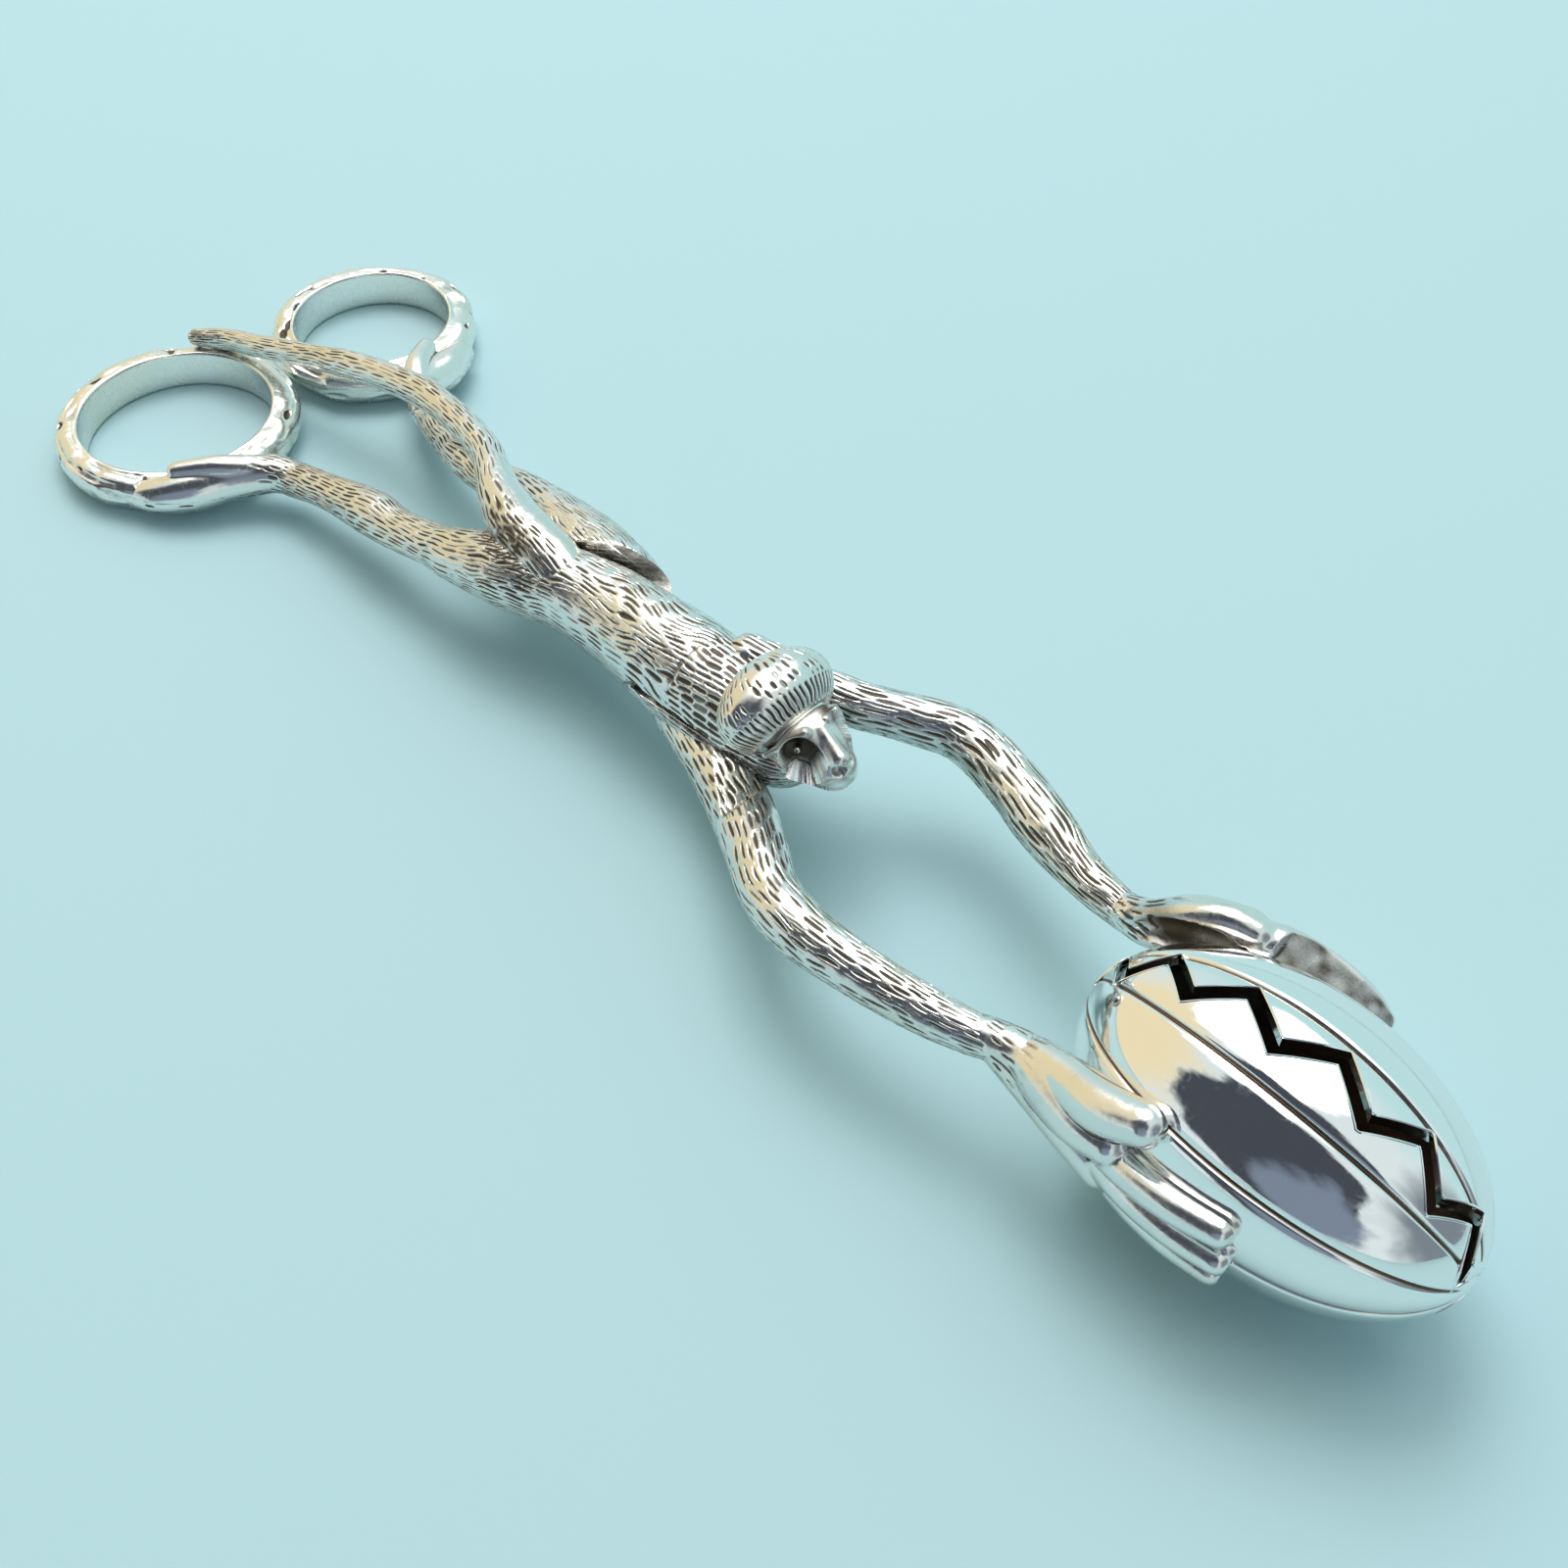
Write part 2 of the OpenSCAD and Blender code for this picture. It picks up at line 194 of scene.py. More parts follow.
def mix_colour(tree, factor, a, b):
    """Colour a where the factor is 0 and b where it is 1; each colour is a tuple or an output."""
    n = tree.nodes.new("ShaderNodeMix")
    n.data_type = "RGBA"
    for socket, value in ((n.inputs["Factor"], factor), (n.inputs[6], a), (n.inputs[7], b)):
        if isinstance(value, tuple):
            socket.default_value = (*value, 1)
        else:
            tree.links.new(value, socket)
    return n.outputs[2]


# Dark colour of the sulphide in the cuts, used for the painted shade as well.
SULPHIDE_AND_SHADE = (0.105, 0.085, 0.066)


def silver(name, bright, thin, rough, tarnish, speckle=0.25, scratch=0.06, dark=SULPHIDE_AND_SHADE):
    """Polished silver (colour `bright`, or `thin` where the plate has yellowed) with dark oxide, and
    painted shade, where the mesh says so. Roughness = rough + 0.30 x darkness + up to 0.10 of smear."""
    material = bpy.data.materials.new(name)
    material.use_nodes = True
    tree = material.node_tree
    shader = tree.nodes["Principled BSDF"]
    place = tree.nodes.new("ShaderNodeTexCoord").outputs["Object"]
    oxide = node(tree, "ShaderNodeAttribute")
    oxide.attribute_name = "oxide"
    fine = node(tree, "ShaderNodeTexNoise", Scale=5200.0, Detail=3.0)
    broad = node(tree, "ShaderNodeTexNoise", Scale=95.0, Detail=4.0)
    hair = node(tree, "ShaderNodeTexNoise", Scale=900.0, Detail=5.0, Distortion=1.5)
    for texture in (fine, broad, hair):
        tree.links.new(place, texture.inputs["Vector"])
    speck = math_node(tree, "MULTIPLY", math_node(tree, "SUBTRACT", fine.outputs["Fac"], 0.5), speckle)
    level = math_node(tree, "ADD", oxide.outputs["Fac"], speck)
    black = ramp(tree, level, 0.22, 0.85)
    warm = math_node(tree, "MULTIPLY", ramp(tree, broad.outputs["Fac"], 0.42, 0.68), tarnish)
    plate = mix_colour(tree, warm, bright, thin)
    colour = mix_colour(tree, black, plate, dark)
    tree.links.new(colour, shader.inputs["Base Color"])
    shader.inputs["Metallic"].default_value = 1.0
    smear = math_node(tree, "MULTIPLY", ramp(tree, hair.outputs["Fac"], 0.4, 0.7), 0.10)
    gloss = math_node(tree, "ADD", math_node(tree, "MULTIPLY", black, 0.30), rough)
    tree.links.new(math_node(tree, "ADD", gloss, smear), shader.inputs["Roughness"])
    bump = node(tree, "ShaderNodeBump", Strength=scratch, Distance=0.0001)
    tree.links.new(hair.outputs["Fac"], bump.inputs["Height"])
    tree.links.new(bump.outputs["Normal"], shader.inputs["Normal"])
    return material


fur_silver = silver("Chased_silver", (0.84, 0.83, 0.80), (0.80, 0.735, 0.60), 0.19, tarnish=0.6)
smooth_silver = silver("Smooth_silver", (0.87, 0.86, 0.83), (0.82, 0.76, 0.64), 0.17, tarnish=0.5)
ring_silver = silver("Hammered_silver", (0.88, 0.87, 0.83), (0.86, 0.80, 0.66), 0.20, tarnish=0.55,
                     scratch=0.12)
shell_silver = silver("Mirror_silver", (0.95, 0.945, 0.93), (0.93, 0.91, 0.86), 0.035, tarnish=0.25,
                      speckle=0.10, scratch=0.006, dark=(0.17, 0.115, 0.075))
print("materials:", [m.name for m in (fur_silver, smooth_silver, ring_silver, shell_silver)])

# %% [markdown]
# ## Limbs as tubes
# A limb is a round section carried along a bending line, with a radius that swells and thins. A
# Blender curve with a bevel could do that, but then the surface has no rows and columns to engrave.
# The line is a Catmull-Rom curve through a few bends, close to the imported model's own lines. The rows
# are close enough together to hold the graver's strokes, and the ends are rounded off.

# %% Tube helpers
ROW = 0.26        # mm between rows along a limb
COLUMN = 0.125    # mm between columns round a limb, where it is thickest


def smooth_line(bends, spacing):
    """Catmull-Rom curve through the bends (x, y, z, radius each), then cut into equal steps."""
    bends = np.asarray(bends, float)
    all_bends = np.vstack([bends[:1], bends, bends[-1:]])
    t = np.linspace(0, 1, 48, endpoint=False)[None, :, None]
    a, b, c, d = all_bends[:-3, None], all_bends[1:-2, None], all_bends[2:-1, None], all_bends[3:, None]
    fine = 0.5 * (2 * b + (c - a) * t + (2 * a - 5 * b + 4 * c - d) * t**2 + (3 * b - a - 3 * c + d) * t**3)
    fine = np.vstack([fine.reshape(-1, bends.shape[1]), bends[-1:]])
    run = np.concatenate([[0], np.cumsum(np.linalg.norm(np.diff(fine[:, :3], axis=0), axis=1))])
    way = np.linspace(0, run[-1], max(int(run[-1] / spacing), 6) + 1)
    return np.column_stack([np.interp(way, run, fine[:, k]) for k in range(fine.shape[1])]), way


class Tube:
    """Points on a tube: centre + radius x (cos turn x side + sin turn x lift), where side is level,
    lift is square to it and to the line, and each rounded end follows radius x cos / sin of its angle."""

    def __init__(self, bends, row=ROW, column=COLUMN):
        line, way = smooth_line(bends, row)
        along = np.gradient(line[:, :3], axis=0)
        along /= np.linalg.norm(along, axis=1, keepdims=True)
        centre, radius = line[:, :3], line[:, 3]
        for at, sign in ((0, -1), (-1, 1)):
            steps = max(int(radius[at] * math.pi / 2 / row), 4)
            angle = np.linspace(0, math.pi / 2, steps + 1)[1:-1]
            extra = centre[at] + sign * radius[at] * np.sin(angle)[:, None] * along[at]
            parts = (extra, radius[at] * np.cos(angle), np.repeat(along[at][None], len(angle), 0),
                     way[at] + sign * radius[at] * np.sin(angle))
            if sign < 0:
                parts = tuple(p[::-1] for p in parts)
                centre, radius, along, way = (np.concatenate([p, q]) for p, q in
                                              zip(parts, (centre, radius, along, way)))
            else:
                centre, radius, along, way = (np.concatenate([q, p]) for p, q in
                                              zip(parts, (centre, radius, along, way)))
        side = np.cross([0, 0, 1.0], along)
        side /= np.linalg.norm(side, axis=1, keepdims=True)
        lift = np.cross(along, side)
        count = int(2 * math.pi * radius.max() / column)
        turn = np.arange(count) * 2 * math.pi / count
        self.centre, self.radius, self.along = centre, radius, along
        self.turn = np.broadcast_to(turn, (len(way), count))
        self.run = np.broadcast_to(way[:, None], self.turn.shape)
        self.out = (np.cos(turn)[None, :, None] * side[:, None] + np.sin(turn)[None, :, None] * lift[:, None])
        self.points = centre[:, None] + radius[:, None, None] * self.out

    def piece(self, name, sink, oxide, rows=slice(None)):
        """The tube with its skin sunk by `sink` mm, closed at both ends."""
        grid = (self.points - sink[..., None] * self.out)[rows]
        centre, along, radius = self.centre[rows], self.along[rows], self.radius[rows]
        start, end = centre[0], centre[-1]
        if rows.start is None:
            start = start - along[0] * radius[0] * 0.2
        if rows.stop is None:
            end = end + along[-1] * radius[-1] * 0.2
        return closed_grid(name, grid, start, end, oxide[rows])

# %% [markdown]
# ## Fur
# The chaser cut the fur with a graver: rows of short pointed dashes that run along the limb, each
# deepest in its middle, wandering and never quite in line. Blender's hair or a bump texture would
# look soft. These are real cuts, so the skin is sunk along them. The limb is divided into lanes
# round its girth, each lane into cells along its length, and each cell holds one dash whose length,
# width, place and depth come from the cell's own chance numbers.

# %% Graver strokes
def strokes(turn, run, points, lanes, length, seed, wander=0.9, width=0.22, fill=0.9, lean=0.0, gap=0.25,
            blunt=0.5):
    """Depth of cut from 0 to 1. Lane = turn x lanes / full turn, pushed about by noise; cell = run /
    length plus the lane's own shift. Inside a cell the cut is 1 - |distance from the dash's middle
    line| / half width, where the half width rises and falls as a power of 4t(1 - t) along the dash."""
    sway = wander * (noise(points, 6.0, seed) + 0.45 * noise(points, 2.6, seed + 5))
    lane_place = turn / (2 * math.pi) * lanes + sway + lean * run
    lane = np.floor(lane_place)
    across = lane_place - lane - 0.5
    lane = np.mod(lane, lanes)
    cell_place = run / length + chance(lane, seed=seed) * 7
    cell = np.floor(cell_place)
    luck = [chance(lane, cell, k, seed) for k in range(6)]
    first = gap * luck[0]
    last = 1 - gap * luck[1]
    t = np.clip((cell_place - cell - first) / (last - first), 0, 1)
    taper = np.clip(4 * t * (1 - t), 0, 1)**blunt
    half = width * (0.6 + 0.8 * luck[2]) * taper
    off = np.abs(across - 0.24 * (luck[3] - 0.5))
    cut = ease(0.0, 0.55, 1 - off / np.maximum(half, 1e-6))
    return cut * (0.55 + 0.45 * luck[4]) * (luck[5] < fill)


def near(points, spot, reach):
    """1 at the spot, falling to 0 as exp(-(distance / reach)^2)."""
    return np.exp(-np.sum(((points - np.array(spot)) / np.array(reach))**2, axis=-1))


def worn(points, seed):
    """Patches where years of rubbing have taken the strokes almost away: 1 fresh, towards 0 worn."""
    return ease(-0.75, 0.05, noise(points, 6.5, seed) + 0.3 * noise(points, 2.2, seed + 3))

# %% [markdown]
# ## Cutting with plain blocks
# The two half bodies are lapped over each other: each was filed away to a flat face so that they
# cross at the screw. The simplest way to show that is the maker's: shape the whole trunk, then cut
# away what the other half needs. A Boolean modifier does it, and the flat blocks that it cuts with
# are built from a plan outline.

# %% Block helpers
def block(name, outline, low, high, oxide=0.8, upright=True):
    """Block over an outline that runs anticlockwise: the outline at two heights. Lying down, the
    outline is in x and z and the two heights become -y."""
    outline = np.asarray(outline, float)
    count = len(outline)
    points = np.vstack([np.column_stack([outline, np.full(count, z)]) for z in (low, high)])
    if not upright:
        points = np.stack([points[:, 0], -points[:, 2], points[:, 1]], -1)
    k = np.arange(count)
    after = (k + 1) % count
    sides = np.stack([k, after, after + count, k + count], -1)
    mesh = bpy.data.meshes.new(name)
    faces = [list(range(count))[::-1], list(range(count, 2 * count))] + sides.tolist()
    mesh.from_pydata((points * MM).tolist(), [], faces)
    field = mesh.attributes.new("oxide", "FLOAT", "POINT")
    field.data.foreach_set("value", np.full(2 * count, oxide, np.float32))
    piece = bpy.data.objects.new(name, mesh)
    bpy.context.scene.collection.objects.link(piece)
    return piece


def round_outline(radius, sides=64):
    """Circle round the screw's axis, anticlockwise."""
    turn = np.arange(sides) * 2 * math.pi / sides
    return np.column_stack([radius * np.cos(turn), radius * np.sin(turn)])


def carve(piece, tools, operation="DIFFERENCE"):
    """Applies one Boolean for each tool, then throws the tools away."""
    for tool in tools:
        cut = piece.modifiers.new("Cut", "BOOLEAN")
        cut.solver = "MANIFOLD"
        cut.operation = operation
        cut.object = tool
    bpy.context.view_layer.update()
    shaped = piece.evaluated_get(bpy.context.evaluated_depsgraph_get())
    mesh = bpy.data.meshes.new_from_object(shaped)
    piece.modifiers.clear()
    old, piece.data = piece.data, mesh
    bpy.data.meshes.remove(old)
    for tool in tools:
        bpy.data.objects.remove(tool)
    return piece

# %% [markdown]
# ## The trunk and the lap
# The plan lines of the two closing stops start at the crotch, 21.6 mm behind the screw, and open
# towards the shell with a slope of 0.45. The upper half keeps everything on its own side of both
# lines, and between the lines whatever is above the lap at 12.5 mm. The lower half keeps the rest.
# On the near flank the lap's edge shows: it is level beside the screw and falls away towards the
# rings. Where a cut comes out at the skin, the chaser rounded the edge over, so the skin is sunk a
# little there before the cut is made.

# %% Lap geometry
LAP = 12.5        # mm, height of the lap
CROTCH = 21.6     # mm from the screw back to where the stops meet
SLOPE = 0.45      # of each stop line, y for each mm of x
GAP = 0.06        # mm, half of the gap at the stops
AIR = 0.05        # mm that each half keeps from the lap's plane
REACH = 60.0      # mm, blocks run this far along x, past all that they cut
ASIDE, WIDE = 40.0, 99.0      # mm, across: past the trunk, and past everything
BELOW, ABOVE = -20.0, 60.0    # mm, heights under and over all of the metal
LIP = 4.7         # mm to the near side: outside this the lap's edge follows lip_height
LIP_BACK = 4.9    # mm behind the screw, where the lower half's lip begins
FALL = 0.93       # mm that the lip falls for each mm towards the rings
LIP_START = -CROTCH + LIP / SLOPE    # x where the near stop line is LIP to the near side
AWAY = 9.0        # mm, a distance at which rim() does nothing


def stop_line(points, slope, shift):
    """Distance to the far side of a stop line: y - line, divided by the line's own length per mm of x."""
    x = points[..., 0]
    line = np.where(x > -CROTCH, slope * (x + CROTCH), 2 * (x + CROTCH) / (REACH - CROTCH))
    return (points[..., 1] - line - shift) / math.hypot(1, slope)


def rim(distance, width, depth):
    """How far the skin is sunk at a distance from a cut edge: depth x (1 - distance / width)^2."""
    return depth * np.clip(1 - np.clip(distance, 0, None) / width, 0, 1)**2


def lip_height(x):
    """Height of the lap's edge on the near flank: level beside the screw and beyond it, and falling
    towards the rings."""
    return LAP + FALL * np.minimum(x, 0)


upper_trunk = Tube([[18, -0.4, 12.5, 5.3], [15, -0.5, 12.5, 5.9], [9, -0.5, 12.5, 6.2], [0, -0.8, 12.5, 6.3],
                    [-9, -1.3, 12.5, 5.7], [-17, -2.7, 12.5, 5.1], [-24, -5.3, 12, 4.8], [-32, -7.8, 11, 3.6],
                    [-36.5, -8.4, 10, 2.9], [-42.5, -9.3, 9, 2.8], [-49.5, -9.6, 8, 3.1],
                    [-57.5, -10.4, 6.5, 2.5], [-65, -11.8, 5.2, 2.5]])
lower_trunk = Tube([[18, -0.4, 12.5, 5.3], [15, -0.5, 12.5, 5.9], [9, -0.5, 12.5, 6.2], [0, -0.7, 12.5, 6.2],
                    [-8, 0.4, 12.5, 5.9], [-16, 2.8, 12.4, 5.2], [-24, 4, 12, 4.5], [-36, 4.9, 10.4, 3.4],
                    [-42, 5, 9.4, 2.8], [-50.5, 6, 7.8, 2.8], [-58, 7.6, 6.2, 2.4], [-64, 9.6, 5.4, 2.5]])
print("trunk grids:", upper_trunk.points.shape, lower_trunk.points.shape)

# %% [markdown]
# The fur of a half body is not one pattern: long wavy dashes on the back, with short faint ones in
# between, thick blocks behind the head, finer lines on the far flank and a dark cross-hatch in the
# crotch. Each pattern is worked out over the whole grid, and smooth steps along x and y hand over
# from one to the next, so no border shows.

# %% Fur of the trunk
def trunk_skin(tube, seed):
    """Depth of the skin's cuts (mm) and its darkness for a half body: oxide in the cuts, painted shade in
    the crotch and a darkening towards the bottom; the patterns blended by place, worn in patches, with
    low lumps under all of them."""
    p = tube.points

    def fur(lanes, length, extra, **how):
        return strokes(tube.turn, tube.run, p, lanes, length, seed + extra, **how)

    leg = ease(-27, -31, p[..., 0])
    neck = ease(5.2, 6.4, p[..., 0])
    flank = ease(1.6, 3.4, p[..., 1]) * (1 - leg)
    crotch = near(p, (-23, -5.0, 15.6), (6.0, 3.0, 3.2))
    cut = fur(54, 3.6, 0, wander=1.7, width=0.29, fill=0.97, gap=0.2) * (1 - leg)
    cut = cut + fur(30, 3.0, 1, wander=0.9, width=0.28, fill=0.95, gap=0.2) * leg
    bricks = fur(50, 2.2, 2, wander=0.7, width=0.40, fill=1.0, gap=0.12, blunt=0.2)
    cut = cut * (1 - neck) + bricks * neck
    hairs = fur(58, 5.0, 3, wander=1.4, width=0.27, fill=0.97, gap=0.2)
    cut = cut * (1 - flank) + 0.9 * hairs * flank
    between = fur(80, 2.8, 7, wander=1.4, width=0.20, fill=0.7)
    cut = np.maximum(cut, 0.45 * between * (1 - neck))
    hatch = fur(54, 1.6, 4, wander=0.5, width=0.30, fill=0.85, lean=1.1)
    cut = np.maximum(cut, hatch * ease(0.10, 0.5, crotch))
    fresh = 0.55 + 0.45 * worn(p, seed + 6)
    lumps = 0.09 * (1 + noise(p, 4.0, seed + 8)) + 0.03 * (1 + noise(p, 1.2, seed + 9))
    speckle = 0.5 + 0.5 * noise(p, 0.45, seed + 11)
    dark = 0.16 + 0.10 * noise(p, 2.0, seed + 12) + cut * (0.5 + 0.5 * fresh)
    # Painted shade: a dark spot in the crotch, mottled by fine noise; then the skin made darker towards the
    # bottom.
    dark = dark + 0.75 * crotch * speckle + 0.2 * speckle * ease(12, 7, p[..., 2])
    return 0.16 * cut * fresh + lumps, dark


# %% Upper half body and its leg
sink, dark = trunk_skin(upper_trunk, 3.0)
p = upper_trunk.points
crack = np.exp(-((p[..., 0] - 5.6 - 0.35 * noise(p, 1.6, 44.0)) / 0.11)**2) * ease(14.5, 16.5, p[..., 2])
crack *= ease(1.5, -1.0, p[..., 1])
sink, dark = sink + 0.10 * crack, np.maximum(dark, 0.85 * crack)
far_stop = -stop_line(p, SLOPE, -GAP)
near_stop = -stop_line(p, -SLOPE, -GAP)
edge = np.minimum(far_stop, np.maximum(near_stop, p[..., 2] - LAP - AIR))
edge = np.where(p[..., 0] < -CROTCH - 3, AWAY, edge)
near_lip = (p[..., 1] < -LIP) & (p[..., 0] > -CROTCH / 2)
edge = np.where(near_lip, np.minimum(far_stop, p[..., 2] - lip_height(p[..., 0])), edge)
edge = np.where(near_lip & (p[..., 0] < -LIP_BACK), AWAY, edge)
sink = sink + np.where(near_lip, rim(edge, 0.5, 0.2), rim(edge, 0.3, 0.08))
hip_row = int(np.argmin(np.abs(upper_trunk.centre[:, 0] + 28)))
torso_upper = upper_trunk.piece("Torso_upper", sink, dark, slice(None, hip_row + 1))
far_side = block("Tool_a", [(-REACH, -GAP - 2), (-CROTCH, -GAP), (REACH, SLOPE * (REACH + CROTCH) - GAP),
                            (REACH, 2 * REACH), (-REACH, 2 * REACH)], BELOW, ABOVE)
under = block("Tool_b", [(-REACH, -2 - GAP), (-CROTCH, -GAP), (LIP_START, -LIP), (0, -LIP), (0, -ASIDE),
                         (REACH, -ASIDE), (REACH, WIDE), (-REACH, WIDE)], BELOW, LAP + AIR)
lip = block("Tool_l", [(-8, -9), (REACH, -9), (REACH, LAP + 0.75), (0, LAP + 0.35),
                       (-8, LAP + 0.2 - FALL * 8)], LIP, ASIDE, upright=False)
shank = block("Tool_c", round_outline(2.0), -5, 16.9)
carve(torso_upper, [far_side, under, lip, shank])
finish_piece(torso_upper, fur_silver, "upper_lever", "torso_upper")
near_leg = upper_trunk.piece("Near_leg", sink, dark, slice(hip_row, None))
finish_piece(near_leg, fur_silver, "upper_lever", "near_leg")

# %% [markdown]
# The lower half body is cut with the other side of the same lines. Its lip on the near flank swells
# out a little under the upper half, as the real one does, and it has the running bore for the screw
# and a wider seat for the screw's head.

# %% Lower half body and its leg
sink, dark = trunk_skin(lower_trunk, 23.0)
p = lower_trunk.points
far_stop = stop_line(p, SLOPE, GAP)
near_stop = stop_line(p, -SLOPE, GAP)
edge = np.minimum(near_stop, np.maximum(far_stop, LAP - AIR - p[..., 2]))
edge = np.where(p[..., 0] < -CROTCH - 3, AWAY, edge)
near_lip = (p[..., 1] < -LIP) & (p[..., 0] > -LIP_BACK)
edge = np.where(near_lip, lip_height(p[..., 0]) - p[..., 2], edge)
swell = 0.45 * near_lip * ease(-LIP_BACK, -2, p[..., 0]) * ease(16, 10, p[..., 0])
sink = sink - swell + np.where(near_lip, rim(edge, 0.5, 0.2), rim(edge, 0.45, 0.2))
dark = dark * np.where(near_lip, 1 - 0.8 * rim(edge, 0.7, 1.0), 1)
hip_row = int(np.argmin(np.abs(lower_trunk.centre[:, 0] + 30)))
torso_lower = lower_trunk.piece("Torso_lower", sink, dark, slice(None, hip_row + 1))
near_side = block("Tool_a", [(-REACH, -WIDE), (REACH, -WIDE), (REACH, -ASIDE), (-LIP_BACK, -ASIDE),
                             (-LIP_BACK, 0.12 - LIP), (LIP_START, 0.12 - LIP), (-CROTCH, GAP),
                             (-REACH, -2 + GAP)], BELOW, ABOVE)
over = block("Tool_b", [(-REACH, -WIDE), (0, -WIDE), (0, -LIP - 0.1), (REACH, -LIP - 0.1),
                        (REACH, SLOPE * (REACH + CROTCH) + 2.4), (-CROTCH, GAP),
                        (-REACH, -2 + GAP)], LAP - AIR, ABOVE)
lip_low = block("Tool_l", [(-LIP_BACK, LAP - FALL * LIP_BACK - 0.1), (0, LAP - 0.1), (0, ABOVE),
                           (-LIP_BACK, ABOVE)], LIP - 0.12, ASIDE, upright=False)
lip_high = block("Tool_m", [(-1, LAP - 0.3), (REACH, LAP - 0.3), (REACH, 80), (-1, 80)], LIP + 0.09,
                 ASIDE, upright=False)
bore = block("Tool_c", round_outline(2.05), -5, 40)
head_seat = block("Tool_d", round_outline(3.6), -5, 8.55)
carve(torso_lower, [near_side, over, lip_low, lip_high, bore, head_seat])
finish_piece(torso_lower, fur_silver, "lower_lever", "torso_lower")
far_leg = lower_trunk.piece("Far_leg", sink, dark, slice(hip_row, None))
finish_piece(far_leg, fur_silver, "lower_lever", "far_leg")

# %% [markdown]
# ## Tail
# The tail springs from the small of the back, arches over the gap between the legs and comes to lie
# on the larger ring. It is one long tapering tube with lines along it, closer together at the root. A
# bright smooth ridge runs along the root, where the sleeve or the polishing cloth always rubs. Where
# the root hangs over the far hip it is held back behind the stop line, so that the hip can swing.

# %% Tail
tail_tube = Tube([[-12, -3.0, 12.4, 3.4], [-16, -2.9, 13.8, 3.7], [-20, -2.8, 15.0, 3.9],
                  [-25, -2.5, 15.5, 3.8], [-29, -1.5, 15.7, 3.4], [-32.5, -0.4, 15.9, 2.9],
                  [-36.5, 1.5, 16.1, 2.4], [-42, 3.8, 15.8, 2.1], [-52, 5.4, 14.8, 2.1],
                  [-61, 5.5, 13.6, 2.1], [-71, 3.9, 12, 2], [-80, 1.5, 10.2, 1.8],
                  [-88, -0.8, 8.5, 1.7], [-95, -3, 7.2, 1.6], [-99.5, -5.6, 6.5, 1.3]])
p = tail_tube.points
lines = strokes(tail_tube.turn, tail_tube.run, p, 24, 3.4, 41.0, wander=0.7, width=0.27, fill=0.95, gap=0.2)
root = ease(-31, -25, p[..., 0])
many = strokes(tail_tube.turn, tail_tube.run, p, 36, 2.6, 42.0, wander=1.0, width=0.28, fill=0.95)
lines = lines * (1 - root) + many * root
ridge = ease(-42, -32, p[..., 0]) * ease(0.70, 0.93, tail_tube.out @ np.array([0.1, 0.62, 0.78]))
fresh = (0.4 + 0.6 * worn(p, 43.0)) * (1 - 0.9 * ridge)
sink = 0.15 * lines * fresh + 0.07 * (1 + noise(p, 3.0, 45.0)) + 0.02 * (1 + noise(p, 0.9, 46.0))
# Painted shade where the tail's root lies over the crotch.
shade = near(p, (-23, -5.0, 17.0), (5.5, 2.2, 3.5)) * (0.6 + 0.4 * noise(p, 0.5, 47.0))
dark = 0.16 + 0.10 * noise(p, 2.0, 48.0) + lines * fresh + 0.85 * shade
hip_room = stop_line(p, SLOPE, -GAP - 0.1)
over_hip = ease(14.6, 13.4, p[..., 2]) * ease(-34, -30, p[..., 0])
sink = sink + np.clip(hip_room, 0, 1.2) * over_hip
tail = tail_tube.piece("Tail", sink, dark)
finish_piece(tail, fur_silver, "upper_lever", "tail")

# %% [markdown]
# ## Arms
# The far arm grows out of the upper half body and the near arm out of the lower one, each bent at
# the elbow. Their shoulders have to stay clear of the lap, so the skin is held below (or above) the
# lap's plane over the length where the halves cross.

# %% Arms
def arm_skin(tube, seed, lanes, length, width, fill):
    """Depth of the cuts (mm) and the oxide: dense dashes on the top and outer side with faint ones
    between them, fine short hairs below, and a few worn places."""
    p = tube.points
    cut = strokes(tube.turn, tube.run, p, lanes, length, seed, wander=0.75, width=width, fill=fill)
    below = ease(0.25, -0.35, tube.out[..., 2])
    hairs = strokes(tube.turn, tube.run, p, lanes * 2, 1.3, seed + 2, wander=0.8, width=0.30, fill=0.8,
                    lean=0.9)
    cut = cut * (1 - 0.8 * below) + 0.75 * hairs * below
    between = strokes(tube.turn, tube.run, p, lanes * 2, 2.4, seed + 4, wander=1.0, width=0.20, fill=0.6)
    cut = np.maximum(cut, 0.4 * between)
    fresh = 0.5 + 0.5 * worn(p, seed + 6)
    lumps = 0.08 * (1 + noise(p, 4.0, seed + 8)) + 0.025 * (1 + noise(p, 1.1, seed + 9))
    return 0.17 * cut * fresh + lumps, 0.18 + 0.12 * noise(p, 2.0, seed + 12) + cut * (0.5 + 0.5 * fresh)


SHOULDER = 21.5      # x where the arms come clear of the lap
near_arm_tube = Tube([[2, -3.0, 8.6, 3.0], [9, -4.6, 8.7, 3.4], [14, -6.2, 8.9, 3.5], [20, -8.4, 9.6, 3.7],
                      [26.7, -12.0, 11, 3.5], [32, -15, 12, 3.3], [37, -16.2, 12.6, 3.2],
                      [44, -16, 13, 2.9], [54, -14.2, 13.2, 2.5], [61, -12.2, 13.7, 2]])
far_arm_tube = Tube([[9, 3.2, 16, 3], [14, 4.6, 15.9, 3], [21, 7.4, 15.3, 2.8], [26.7, 11, 14.6, 2.9],
                     [32, 13.6, 14, 3.1], [39, 12.8, 14, 3.2], [47, 10.5, 14, 3.1], [54, 8.7, 14, 2.4],
                     [60.5, 8, 14.4, 2]])
sink, dark = arm_skin(near_arm_tube, 61.0, 27, 3.2, 0.28, 0.9)
p = near_arm_tube.points
